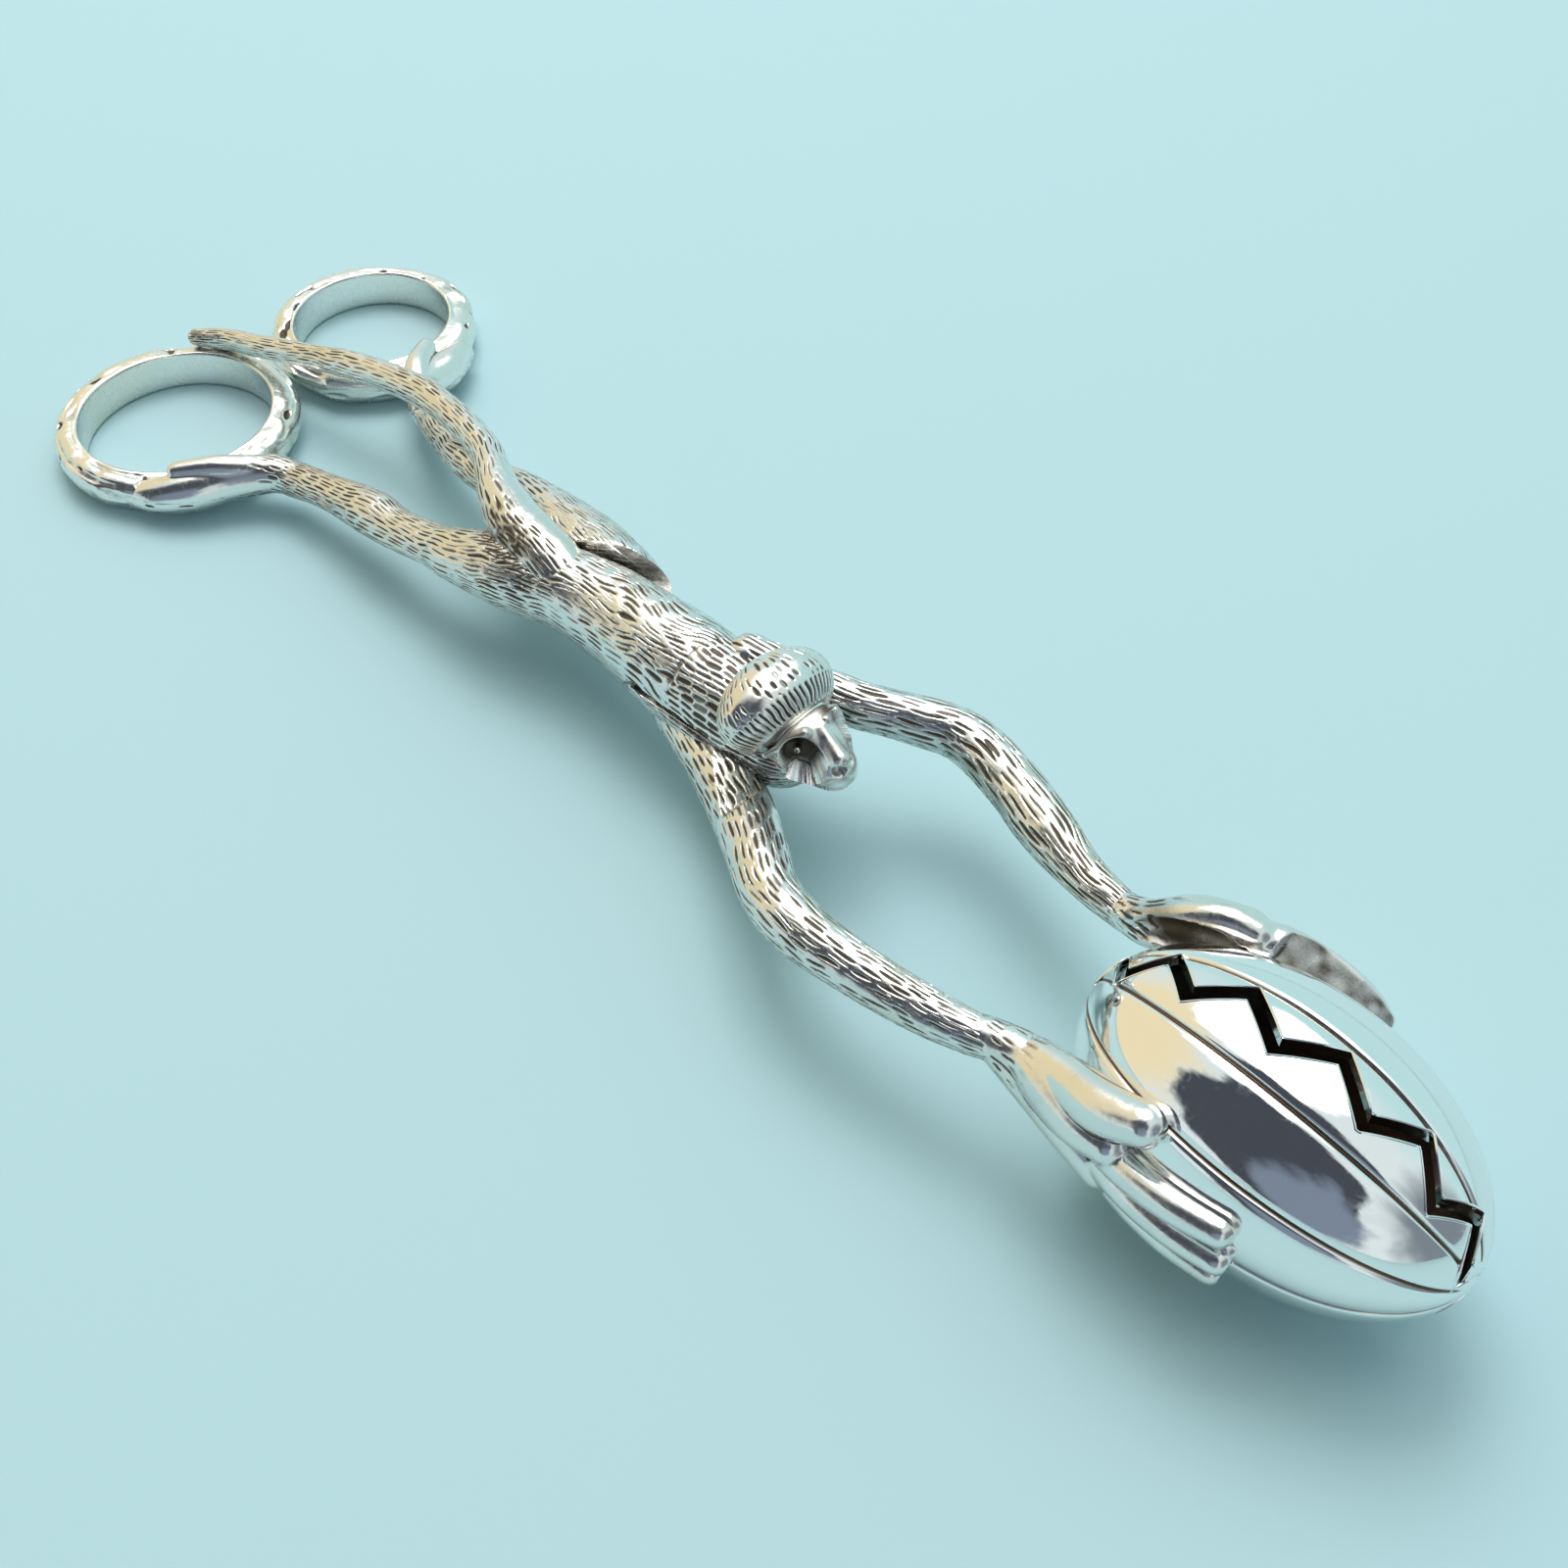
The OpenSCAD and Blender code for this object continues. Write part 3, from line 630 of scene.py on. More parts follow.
ceiling = LAP - 0.12 + 1.4 * np.clip(p[..., 0] - SHOULDER, 0, None)
near_arm_tube.points[..., 2] = np.minimum(p[..., 2], ceiling)
# Painted shade on the inner side of the shoulder, where it meets the body under the head.
dark = dark + 0.6 * near(p, (22.5, -3.5, 11.5), (4, 3.0, 3.0)) * (0.6 + 0.4 * noise(p, 0.6, 62.0))
near_arm = near_arm_tube.piece("Near_arm", sink, dark)
finish_piece(near_arm, fur_silver, "lower_lever", "near_arm")

sink, dark = arm_skin(far_arm_tube, 71.0, 25, 4.6, 0.34, 1.0)
p = far_arm_tube.points
lowest = LAP + 0.12 - 1.4 * np.clip(p[..., 0] - SHOULDER, 0, None)
far_arm_tube.points[..., 2] = np.maximum(p[..., 2], lowest)
far_arm = far_arm_tube.piece("Far_arm", sink, dark)
finish_piece(far_arm, fur_silver, "upper_lever", "far_arm")

# %% [markdown]
# ## Finger rings
# Each ring is a band with a flat bore for the finger and an outside like bark. A torus would be too
# even. The band's section is carried round a circle, and the skin is sunk along the section's own
# outward direction: wide hammer dents, long ridges that run round the ring, and a few dark pits. The
# bore keeps its true size.

# %% Rings
RING_HEIGHT = 5.5                     # mm
RING_ROW, RING_COLUMN = 0.18, 0.24    # mm between points along the section and round the ring


def ring_section(inner, outer, height, step):
    """Closed section (distance from the ring's axis, height), its outward direction, and how much of
    the roughness each point takes: none on the bore, all of it outside."""
    ease_in, core, waist = 0.4, 1.2, 0.6
    a = np.radians(np.arange(-90, 91, 6))
    lean = np.where(a < 0, waist, 1 - waist)
    outside = np.column_stack([inner + core + (outer - inner - core) * np.cos(a),
                               height * (waist + lean * np.sin(a))])
    corner = np.array([[inner + ease_in, height], [inner + 0.12, height - 0.12], [inner, height - ease_in]])
    foot = np.array([[inner, ease_in], [inner + 0.12, 0.12], [inner + ease_in, 0]])
    loop = np.vstack([outside, corner, foot, outside[:1]])
    run = np.concatenate([[0], np.cumsum(np.linalg.norm(np.diff(loop, axis=0), axis=1))])
    way = np.arange(0, run[-1], step)
    line = np.column_stack([np.interp(way, run, loop[:, k]) for k in range(2)])
    tangent = np.roll(line, -1, 0) - np.roll(line, 1, 0)
    out = np.column_stack([tangent[:, 1], -tangent[:, 0]])
    out /= np.linalg.norm(out, axis=1, keepdims=True)
    rough = ease(inner + 0.15, inner + 0.9, line[:, 0]) * ease(0.0, 0.8, line[:, 1])
    return line, out, rough


def ring_faces_in(grid, quads):
    """True when the closed surface's signed volume (sum of a . (b x c) / 6) is negative."""
    p = grid.reshape(-1, 3)
    a, b, c, d = (p[quads[:, k]] for k in range(4))
    return (np.einsum("ij,ij->i", a, np.cross(b, c)) + np.einsum("ij,ij->i", a, np.cross(c, d))).sum() < 0


def make_ring(name, centre, inner, outer, body, node_name, seed):
    """Points = centre + distance x (cos turn, sin turn) at the section's height, less the dents."""
    line, out, rough = ring_section(inner, outer, RING_HEIGHT, RING_ROW)
    count = int(2 * math.pi * outer / RING_COLUMN)
    turn = np.arange(count) * 2 * math.pi / count
    spoke = np.stack([np.cos(turn), np.sin(turn), np.zeros(count)], -1)[:, None]
    up = np.array([0, 0, 1.0])
    p = np.array([centre[0], centre[1], 0]) + line[None, :, :1] * spoke + line[None, :, 1:] * up
    away = out[None, :, :1] * spoke + out[None, :, 1:] * up
    bark = np.stack(np.broadcast_arrays(turn[:, None] * outer / 3.2, line[None, :, 0], line[None, :, 1]), -1)
    dents = 0.45 * ease(0.0, 0.75, noise(p, 4.6, seed)) + 0.12 * ease(0.0, 0.8, noise(p, 2.2, seed + 1))
    ridges = 0.28 * ease(0.05, 0.7, noise(bark, 1.0, seed + 2))
    pits = 0.45 * ease(0.52, 0.78, noise(bark * [1.5, 1, 1], 1.3, seed + 3))
    sink = rough * np.minimum(dents + ridges + pits, 0.95) + 0.02 * (1 + noise(p, 0.8, seed + 4)) * rough
    uneven = 0.6 + 0.4 * noise(p, 0.6, seed + 5)
    dark = rough * (0.9 * ease(0.05, 0.35, pits) + 0.45 * ease(0.10, 0.28, ridges) * uneven)
    dark = dark + (0.16 + 0.12 * noise(p, 2.5, seed + 6) + 0.15 * ease(0.3, 0.6, dents)) * rough
    grid = p - sink[..., None] * away
    rows, cols = grid.shape[:2]
    quads = grid_faces(rows + 1, cols) % (rows * cols)
    piece = make_object(name, grid.reshape(-1, 3), quads[:, ::-1] if ring_faces_in(grid, quads) else quads,
                        oxide=dark.ravel())
    return finish_piece(piece, ring_silver, body, node_name)


make_ring("Near_ring", (-88.2, -16), 13.0, 16.7, "upper_lever", "near_finger_ring", 81.0)
make_ring("Far_ring", (-88.2, 16.2), 11.1, 15.0, "lower_lever", "far_finger_ring", 91.0)

# %% [markdown]
# ## Gripping shell
# The shell is a hollow egg, engraved like a seed pod with ten lines from end to end and cut in two
# by a zigzag. Its surface is an ellipse turned about X; each line is a small groove at a fixed turn.
# A mirror finish shows every flaw of a mesh, so the columns crowd together at the grooves and are
# wide between them. The zigzag is cut with a block whose outline has a corner every 13.15 degrees of
# the ellipse, and a fine burnished bead follows the cut, as on the real edge.

# %% Shell helpers
SHELL_X, SHELL_A, SHELL_B, WALL = 84.0, 21.0, 13.6, 1.4   # mm: middle, half length, radius, wall
TOOTH_GAP, TOOTH = 2.0, 1.7   # mm between the two zigzags, and how far each tooth stands to a side
SKIN_A, SKIN_B = SHELL_A - 0.06, SHELL_B - 0.06   # the beads along the cut stand up to the full size
SHIFT = 0.25         # the mouth lies this far to the near side
FIRST_LINE = 5.0     # degrees from +Y, upwards
INSIDE_OXIDE = 0.75


def egg_surface(a, b, rows, turns, groove):
    """x = a sin t, distance from the axis = b cos t less the groove's depth there; t runs from -90 to
    90 degrees and the turn goes round. Groove depth = groove x (0.34 of a narrow bell + a wide, shallow
    bell), each bell exp(-(distance to the line / its width)^2), and both fade out at the tips."""
    t = np.radians(np.linspace(-90, 90, rows + 2))[1:-1, None]
    turn = turns[None]
    away = np.abs(np.mod(np.degrees(turn) - FIRST_LINE + 18, 36) - 18)
    distance = np.radians(away) * b * np.cos(t)
    cut = np.exp(-(distance / 0.24)**2) * ease(1.2, 4.0, b * np.cos(t))
    shoulder = 0.10 * np.exp(-(distance / 0.75)**2) * ease(1.2, 4.0, b * np.cos(t))
    out = b * np.cos(t) - groove * (0.34 * cut + shoulder)
    x = a * np.sin(t) + 0 * turn
    points = np.stack([SHELL_X + x, out * np.cos(turn), SHELL_B + out * np.sin(turn)], -1)
    return points, cut


def zigzag(shift):
    """Corners of the toothed edge: x from the sine of equal turns, y to one side and the other."""
    k = np.arange(14)
    return np.column_stack([SHELL_X + SHELL_A * np.sin(np.radians(-84.4 + 13.15 * k)),
                            shift + TOOTH * np.where(k % 2 == 0, -1, 1)])


def shell_block(name, sign):
    """Block over one half's side of the zigzag."""
    edge = zigzag(sign * TOOTH_GAP / 2 - SHIFT)
    ends = (SHELL_X - SHELL_A - 2, SHELL_X + SHELL_A + 2)
    outline = np.vstack([[ends[0], edge[0, 1]], edge, [ends[1], edge[-1, 1]], [ends[1], sign * ASIDE],
                         [ends[0], sign * ASIDE]])
    return block(name, outline if sign > 0 else outline[::-1], -5, 40, oxide=INSIDE_OXIDE)


spread = np.linspace(-0.5, 0.5, 45)[:-1]
one_gore = 18 * np.sin(np.pi * spread)
turns = np.radians(np.concatenate([FIRST_LINE + 18 + 36 * g + one_gore for g in range(10)]))
print("columns round the egg:", len(turns), "closest %.3f deg" % np.degrees(np.diff(turns).min()))

# %% [markdown]
# Each half is the whole hollow egg, an outer and an inner surface in one mesh, cut by a block that
# keeps one side of the zigzag. That is how the real one was made too: raised as one egg and sawn in
# two. The bead is a thin tube along the cut, above and below.

# %% Two halves
def bead(sign, under):
    """Fine burnished bead along the cut: a thin tube whose line lies on the egg, y on the zigzag."""
    edge = zigzag(sign * TOOTH_GAP / 2 - SHIFT)
    run = np.linspace(0, len(edge) - 1, 14 * 16)
    x = np.interp(run, np.arange(len(edge)), edge[:, 0])
    y = np.interp(run, np.arange(len(edge)), edge[:, 1])
    out = SKIN_B * np.sqrt(np.clip(1 - ((x - SHELL_X) / SKIN_A)**2, 0, 1))
    keep = out > np.abs(y) + 0.9
    x, y, out = x[keep], y[keep], out[keep]
    z = SHELL_B + under * (np.sqrt(out**2 - y**2) - 0.10)
    return Tube(np.column_stack([x, y + sign * 0.10, z, np.full(len(x), 0.14)]), row=0.35, column=0.11)


def join(piece, others):
    """Makes the other objects part of this one."""
    bpy.ops.object.select_all(action="DESELECT")
    for each in others + [piece]:
        each.select_set(True)
    bpy.context.view_layer.objects.active = piece
    bpy.ops.object.join()


def shell_half(name, sign, body, node_name):
    """One half of the egg with its beads; sign 1 is the far half, -1 the near one."""
    outer, cut = egg_surface(SKIN_A, SKIN_B, 190, turns, 1.0)
    plain = np.linspace(0, 2 * math.pi, 121)[:-1]
    inner, _ = egg_surface(SHELL_A - WALL, SHELL_B - WALL, 90, plain, 0.0)
    rows, cols = outer.shape[:2]
    irows, icols = inner.shape[:2]
    tips = np.array([[SHELL_X - SKIN_A, 0, SHELL_B], [SHELL_X + SKIN_A, 0, SHELL_B]])
    inner_tips = np.array([[SHELL_X - SHELL_A + WALL, 0, SHELL_B], [SHELL_X + SHELL_A - WALL, 0, SHELL_B]])
    points = np.vstack([outer.reshape(-1, 3), tips, inner.reshape(-1, 3), inner_tips])
    offset = rows * cols + 2
    quads = np.vstack([grid_faces(rows, cols), grid_faces(irows, icols)[:, ::-1] + offset])
    tris = np.vstack([end_fans(rows, cols), end_fans(irows, icols)[:, ::-1] + offset])
    dark = np.concatenate([0.95 * cut.ravel(), [0, 0], np.full(irows * icols + 2, INSIDE_OXIDE)])
    piece = make_object(name, points, quads, tris, oxide=dark)
    carve(piece, [shell_block("Tool_z", sign)], "INTERSECT")
    tubes = [bead(sign, under) for under in (1, -1)]
    join(piece, [tube.piece(name + "_bead", np.zeros((1, 1)), np.zeros(tube.turn.shape)) for tube in tubes])
    return finish_piece(piece, shell_silver, body, node_name, crease=35)


shell_half("Near_shell", -1, "lower_lever", "near_shell_half")
shell_half("Far_shell", 1, "upper_lever", "far_shell_half")

# %% [markdown]
# ## Hands and feet
# A hand is a palm with digits that grow out of it, which no single grid can give. So each digit is a
# plain tube, and Blender's voxel remesh melts them into one skin, as wax does under a warm tool. The
# skin is then relaxed by moving each point towards the mean of its neighbours. The same sum tells
# where the skin is hollow, and that is where the oxide stays. The wax is melted in millimetres and
# scaled down only at the end.

# %% Wax helpers
def wax_tube(bends):
    """A coarse tube: the wax forgets its rows and columns."""
    return Tube(bends, row=0.5, column=0.4)


def lump_of(name, tubes):
    """One mesh object, in mm, of tubes that are each closed by a point in the middle of either end."""
    points, quads, tris, start = [], [], [], 0
    for tube in tubes:
        grid = tube.points
        rows, cols = grid.shape[:2]
        points.append(np.vstack([grid.reshape(-1, 3), grid[0].mean(0), grid[-1].mean(0)]))
        quads.append(grid_faces(rows, cols) + start)
        tris.append(end_fans(rows, cols) + start)
        start += rows * cols + 2
    return make_object(name, np.vstack(points), np.vstack(quads), np.vstack(tris), scale=1.0)


def add_melt(lump, voxel):
    """Voxel remesh: a new skin of even squares, `voxel` mm wide."""
    warmth = lump.modifiers.new("Melt", "REMESH")
    warmth.mode = "VOXEL"
    warmth.voxel_size = voxel


def wax(tubes, voxel, scoops=()):
    """Melts tubes into one skin, takes the scoops out of it and relaxes it; returns points in mm,
    faces and edges."""
    lump = lump_of("Wax", tubes)
    add_melt(lump, voxel)
    knives = [lump_of("Knife", [scoop]) for scoop in scoops]
    for knife in knives:
        cut = lump.modifiers.new("Scoop", "BOOLEAN")
        cut.solver, cut.operation, cut.object = "MANIFOLD", "DIFFERENCE", knife
        add_melt(lump, voxel)
    bpy.context.view_layer.update()
    mesh = bpy.data.meshes.new_from_object(lump.evaluated_get(bpy.context.evaluated_depsgraph_get()))
    skin = np.zeros(len(mesh.vertices) * 3, np.float32)
    mesh.vertices.foreach_get("co", skin)
    corners = np.zeros(len(mesh.loops), np.int32)
    mesh.loops.foreach_get("vertex_index", corners)
    edges = np.zeros(len(mesh.edges) * 2, np.int32)
    mesh.edges.foreach_get("vertices", edges)
    quads = corners.reshape(-1, 4)
    for each in [lump] + knives:
        bpy.data.objects.remove(each)
    skin, edges = skin.reshape(-1, 3).astype(float), edges.reshape(-1, 2)
    return relaxed(skin, edges, 2), quads, edges


def neighbour_mean(values, edges):
    """Mean of each point's neighbours: sums over both ends of all edges, divided by their number."""
    count = np.bincount(edges.ravel(), minlength=len(values))[:, None]
    total = np.stack([np.bincount(edges[:, 0], values[edges[:, 1], k], len(values)) +
                      np.bincount(edges[:, 1], values[edges[:, 0], k], len(values))
                      for k in range(values.shape[1])], -1)
    return total / np.maximum(count, 1)


def relaxed(points, edges, times):
    """Moves each point 0.6 of the way to its neighbours' mean, again and again."""
    for _ in range(times):
        points = points + 0.6 * (neighbour_mean(points, edges) - points)
    return points


def skin_normals(points, quads):
    """Mean of the crossed diagonals of the faces round each point."""
    face = np.cross(points[quads[:, 2]] - points[quads[:, 0]], points[quads[:, 3]] - points[quads[:, 1]])
    total = np.stack([sum(np.bincount(quads[:, c], face[:, k], len(points)) for c in range(4))
                      for k in range(3)], -1)
    return total / np.maximum(np.linalg.norm(total, axis=1, keepdims=True), 1e-9)


def hollows(points, quads, edges, times=30):
    """How deep each point lies below the mean of a wide ring of neighbours, in mm."""
    wide = relaxed(points, edges, times)
    return np.einsum("ij,ij->i", wide - points, skin_normals(points, quads))


def on_shell(x, turn, side, lift):
    """Point on the egg at x, turned up from the level by `turn` degrees, lifted off its skin."""
    out = SHELL_B * math.sqrt(1 - ((x - SHELL_X) / SHELL_A)**2) + lift
    return [x, side * out * math.cos(math.radians(turn)), SHELL_B + out * math.sin(math.radians(turn))]


def digit(root_turn, tip_turn, tip_x, root, side, r):
    """Tube from the palm to a fingertip, lying on the egg, thinning with the square of its length."""
    bends = [on_shell(root + (tip_x - root) * t, root_turn + (tip_turn - root_turn) * t, side, 0.9 - 0.2 * t)
             + [r * (1.05 - 0.22 * t * t)] for t in (0, 0.35, 0.7, 1)]
    return wax_tube(bends)


def soft_dark(deep, low, high, cuts, points, seed):
    """Oxide of a smooth part: a thin veil all over, more in its hollows and in its few cuts."""
    return ease(low, high, deep) + cuts + 0.20 + 0.16 * noise(points, 2.5, seed)


# %% [markdown]
# Four fingers lie side by side on the near half of the egg, with the thumb above them and the heel of
# the hand below. The chaser carried the fur on over the wrist, so the strokes fade out there.

# %% Near hand
HAND_VOXEL, FOOT_VOXEL = 0.20, 0.16    # mm
WRIST_CUT = 0.12                       # mm
fingers = [digit(*d) for d in ([-2, 13, 87.6, 71, -1, 1.85], [-13, -3, 88.4, 71, -1, 1.7],
                               [-24, -18, 88, 71, -1, 1.6], [-35, -33, 85.5, 70, -1, 1.5])]
thumb = wax_tube([[65, -11.3, 15.2, 1.9], [69, -11.8, 16.4, 2.3], [73.5, -12.6, 18.2, 2.5],
                  [77.6, -12.4, 20.2, 2.1]])
palm = wax_tube([[59, -12.6, 13.6, 2], [63.5, -11.6, 14.2, 2.3], [67.5, -12.2, 14.6, 2.8],
                 [72, -13.2, 15.0, 2.7], [75.5, -13.8, 15.6, 1.9]])
heel = wax_tube([[61, -12.2, 13.2, 1.9], [66, -12.2, 12.6, 2.5], [71, -12.6, 11.4, 2.5],
                 [75, -13, 9.6, 2.0]])
points, quads, edges = wax(fingers + [thumb, palm, heel], HAND_VOXEL)
deep = hollows(points, quads, edges)
print("near hand: %d points, hollows to %.2f mm" % (len(points), deep.max()))
wrist = ease(68, 61, points[:, 0])
turn = np.arctan2(points[:, 2] - 14, -(points[:, 1] + 11.8))
cuts = strokes(turn, points[:, 0], points, 20, 2.2, 101.0, wander=0.7, width=0.28, fill=0.85) * wrist
points = points - (WRIST_CUT * cuts)[:, None] * skin_normals(points, quads)
dark = np.clip(soft_dark(deep, 0.02, 0.16, 0.9 * cuts, points, 104.0), 0, 1)
near_hand = make_object("Near_hand", points, quads, oxide=dark)
finish_piece(near_hand, smooth_silver, "lower_lever", "near_hand", crease=80)

# %% [markdown]
# The far hand is cupped: a scoop is taken out between its thumb and its palm. Its forefinger is seen
# from the side as a flat strip with an edge, because the founder filed it flat. So the points above a
# chosen turn round the egg are pressed down to a tenth of their height over it.

# %% Far hand
fingers = [digit(*d) for d in ([13, -6, 86, 69.5, 1, 1.8], [1, -19, 86, 69.5, 1, 1.8],
                               [-11, -31, 84.5, 69.5, 1, 1.7])]
index = wax_tube([on_shell(x, up, 1, lift) + [r] for x, up, lift, r in (
    (70, 31, 1.2, 2.0), (74, 26, 1.5, 2.3), (78.6, 18.5, 1.5, 2.1), (82, 12, 1.6, 1.9), (84.2, 8, 1.5, 1.5))])
thumb = wax_tube([[61.5, 7.0, 16.6, 1.2], [65, 7.9, 19.6, 1.3], [68.6, 9.6, 21.2, 1.6],
                  [71.8, 10.8, 20.8, 1.7]])
palm = wax_tube([[58.5, 8.2, 14.2, 1.9], [62.5, 8.1, 15.6, 2.5], [66.5, 9.5, 17.8, 3.2],
                 [70.5, 11.2, 18.6, 3.0]])
scoop = wax_tube([[61.8, 5.2, 16.4, 1.0], [64.8, 5.9, 18.2, 1.7], [68.2, 7.2, 19.2, 1.9],
                  [71.6, 8.8, 19.2, 1.3]])
points, quads, edges = wax(fingers + [index, thumb, palm], HAND_VOXEL, scoops=[scoop])
span = np.hypot(points[:, 1], points[:, 2] - SHELL_B)
lifted = np.arctan2(points[:, 2] - SHELL_B, points[:, 1])
STRIP_X = 74.2      # the flat strip starts here
flat_at = np.radians(np.interp(points[:, 0], [STRIP_X, 77.1, 81.3, 84.6, 86], [32, 25.5, 19.5, 12.5, 9]))
on_side = (points[:, 0] > STRIP_X) & (lifted > flat_at)
level = np.where(on_side, flat_at + 0.10 * (lifted - flat_at), lifted)
points = np.stack([points[:, 0], span * np.cos(level), SHELL_B + span * np.sin(level)], -1)
wrist = ease(67, 60, points[:, 0])
turn = np.arctan2(points[:, 2] - 15, points[:, 1] - 8)
cuts = strokes(turn, points[:, 0], points, 20, 2.2, 131.0, wander=0.7, width=0.28, fill=0.85) * wrist
points = points - (WRIST_CUT * cuts)[:, None] * skin_normals(points, quads)
deep = hollows(points, quads, edges)
print("far hand: %d points, hollows to %.2f mm" % (len(points), deep.max()))
# Painted shade in the hollow of the cup, added to the oxide.
cup = near(points, (67.3, 7.2, 18.6), (5.4, 2.1, 2.2))
dark = np.clip(soft_dark(deep, 0.06, 0.25, 0.85 * cuts, points, 134.0) + 0.9 * cup, 0, 1)
# Painted shade on the side face of the flat strip; its outermost band is left bright.
side_face = on_side * (0.55 + 0.25 * noise(points, 1.1, 141.0)) * ease(3.2, 2.4, span - SHELL_B * 0.98)
dark = np.maximum(dark, side_face)
far_hand = make_object("Far_hand", points, quads, oxide=dark)
finish_piece(far_hand, smooth_silver, "upper_lever", "far_hand", crease=80)

# %% [markdown]
# Each foot is a sole that bends round the outside of its ring, with the big toe over it. It is melted
# from two tubes with a finer voxel, because the toe is thin.

# %% Feet
def make_foot(name, foot_line, toe_line, body, node_name, seed):
    """Sole and big toe melted together, with fine cross cuts low on the sole and fur at the ankle."""
    points, quads, edges = wax([wax_tube(foot_line), wax_tube(toe_line)], FOOT_VOXEL)
    deep = hollows(points, quads, edges)
    normals = skin_normals(points, quads)
    low = ease(4.6, 3.4, points[:, 2])
    start = np.array(foot_line[0][:3])
    ankle = ease(9.5, 5.0, np.linalg.norm(points - start, axis=1))
    turn = np.arctan2(points[:, 2] - start[2], points[:, 1] - start[1] + 0.4 * (start[0] - points[:, 0]))
    fur = strokes(turn, points[:, 0], points, 22, 2.0, seed + 4, wander=0.6, width=0.28, fill=0.9) * ankle
    cross = strokes(points[:, 2] * 0.9, points[:, 0] - points[:, 1], points, 12, 0.55, seed, wander=0.3,
                    width=0.30, fill=0.6) * low
    rough = 0.05 * (1 + noise(points, 1.3, seed + 2)) * low
    points = points - (0.09 * cross + 0.12 * fur + rough)[:, None] * normals
    points[:, 2] = np.maximum(points[:, 2], 0.02)
    dark = ease(0.04, 0.22, deep) + 0.7 * cross + 0.8 * fur + 0.20 + 0.15 * noise(points, 2.5, seed + 6)
    dark = np.clip(dark, 0, 1)
    return finish_piece(make_object(name, points, quads, oxide=dark), smooth_silver, body, node_name,
                        crease=80)


make_foot("Near_foot", [[-62.6, -11.3, 5.6, 2.1], [-67.5, -13, 5.1, 2.6], [-71, -17.5, 4.5, 2.7],
                        [-73.4, -22, 3.8, 2.8], [-76.2, -25.6, 3.2, 2.5], [-79, -27.6, 2.8, 1.9]],
          [[-69, -14.6, 5.8, 2], [-72, -18.6, 6.4, 1.8], [-75.4, -22.8, 6.1, 1.4]],
          "upper_lever", "near_foot", 111.0)
make_foot("Far_foot", [[-61.8, 8.7, 5.8, 2.1], [-66.5, 10.4, 5.2, 2.6], [-70.6, 14, 4.4, 2.6],
                       [-72.6, 18.4, 3.8, 2.6], [-74.8, 22.2, 3.2, 1.9]],
          [[-68.8, 11, 5.8, 1.9], [-72.6, 13.6, 6.3, 1.8], [-75.6, 17.2, 6.1, 1.4]],
          "lower_lever", "far_foot", 121.0)

# %% [markdown]
# ## Head
# The head is a smooth cap over a small face with deep eye sockets, a ridged nose and a broad muzzle.
# It could be sculpted by hand, but then nobody could change it. Here it is a field: the distance to
# a few eggs and rods, melted into each other or taken away. A ray is sent in from outside along
# every direction of a grid, and it walks by the field's own value until it touches the skin.

# %% Head field
def egg_field(p, centre, half, lean=0.0, yaw=0.0):
    """Near enough the distance to an ellipsoid: k (k - 1) / |p / half^2| with k = |p / half|."""
    q = p - np.array(centre)
    c, s = math.cos(math.radians(yaw)), math.sin(math.radians(yaw))
    q = np.stack([q[..., 0] * c + q[..., 1] * s, -q[..., 0] * s + q[..., 1] * c, q[..., 2]], -1)
    c, s = math.cos(math.radians(lean)), math.sin(math.radians(lean))
    q = np.stack([q[..., 0] * c - q[..., 2] * s, q[..., 1], q[..., 0] * s + q[..., 2] * c], -1)
    half = np.array(half)
    k = np.linalg.norm(q / half, axis=-1)
    return k * (k - 1) / np.maximum(np.linalg.norm(q / half**2, axis=-1), 1e-6)


def rod_field(p, a, b, ra, rb):
    """Distance to a rod from a to b whose radius changes from ra to rb."""
    a, b = np.array(a, float), np.array(b, float)
    t = np.clip((p - a) @ (b - a) / ((b - a) @ (b - a)), 0, 1)
    return np.linalg.norm(p - a - t[..., None] * (b - a), axis=-1) - (ra + (rb - ra) * t)


def melt(a, b, k):
    """The smaller of two fields, rounded over a width k."""
    h = np.clip(0.5 + 0.5 * (b - a) / k, 0, 1)
    return b + (a - b) * h - k * h * (1 - h)


def hollow_out(a, b, k):
    """Field a with b taken away, its edge rounded over k."""
    return -melt(-a, b, k)


CAP = ((17.4, -0.7, 18.8), (4.9, 7.6, 5.1), 24.0, 4.0)    # middle, half sizes, lean and yaw in degrees
EYES = ((25.0, -3.5, 18.6), (24.3, 2.3, 19.7))


def ball_field(p, eye, back, side, down, radius):
    """Distance to a ball that is set back, sideways and down from an eye's place."""
    return np.linalg.norm(p - np.array([eye[0] - back, eye[1] + side, eye[2] - down]), axis=-1) - radius


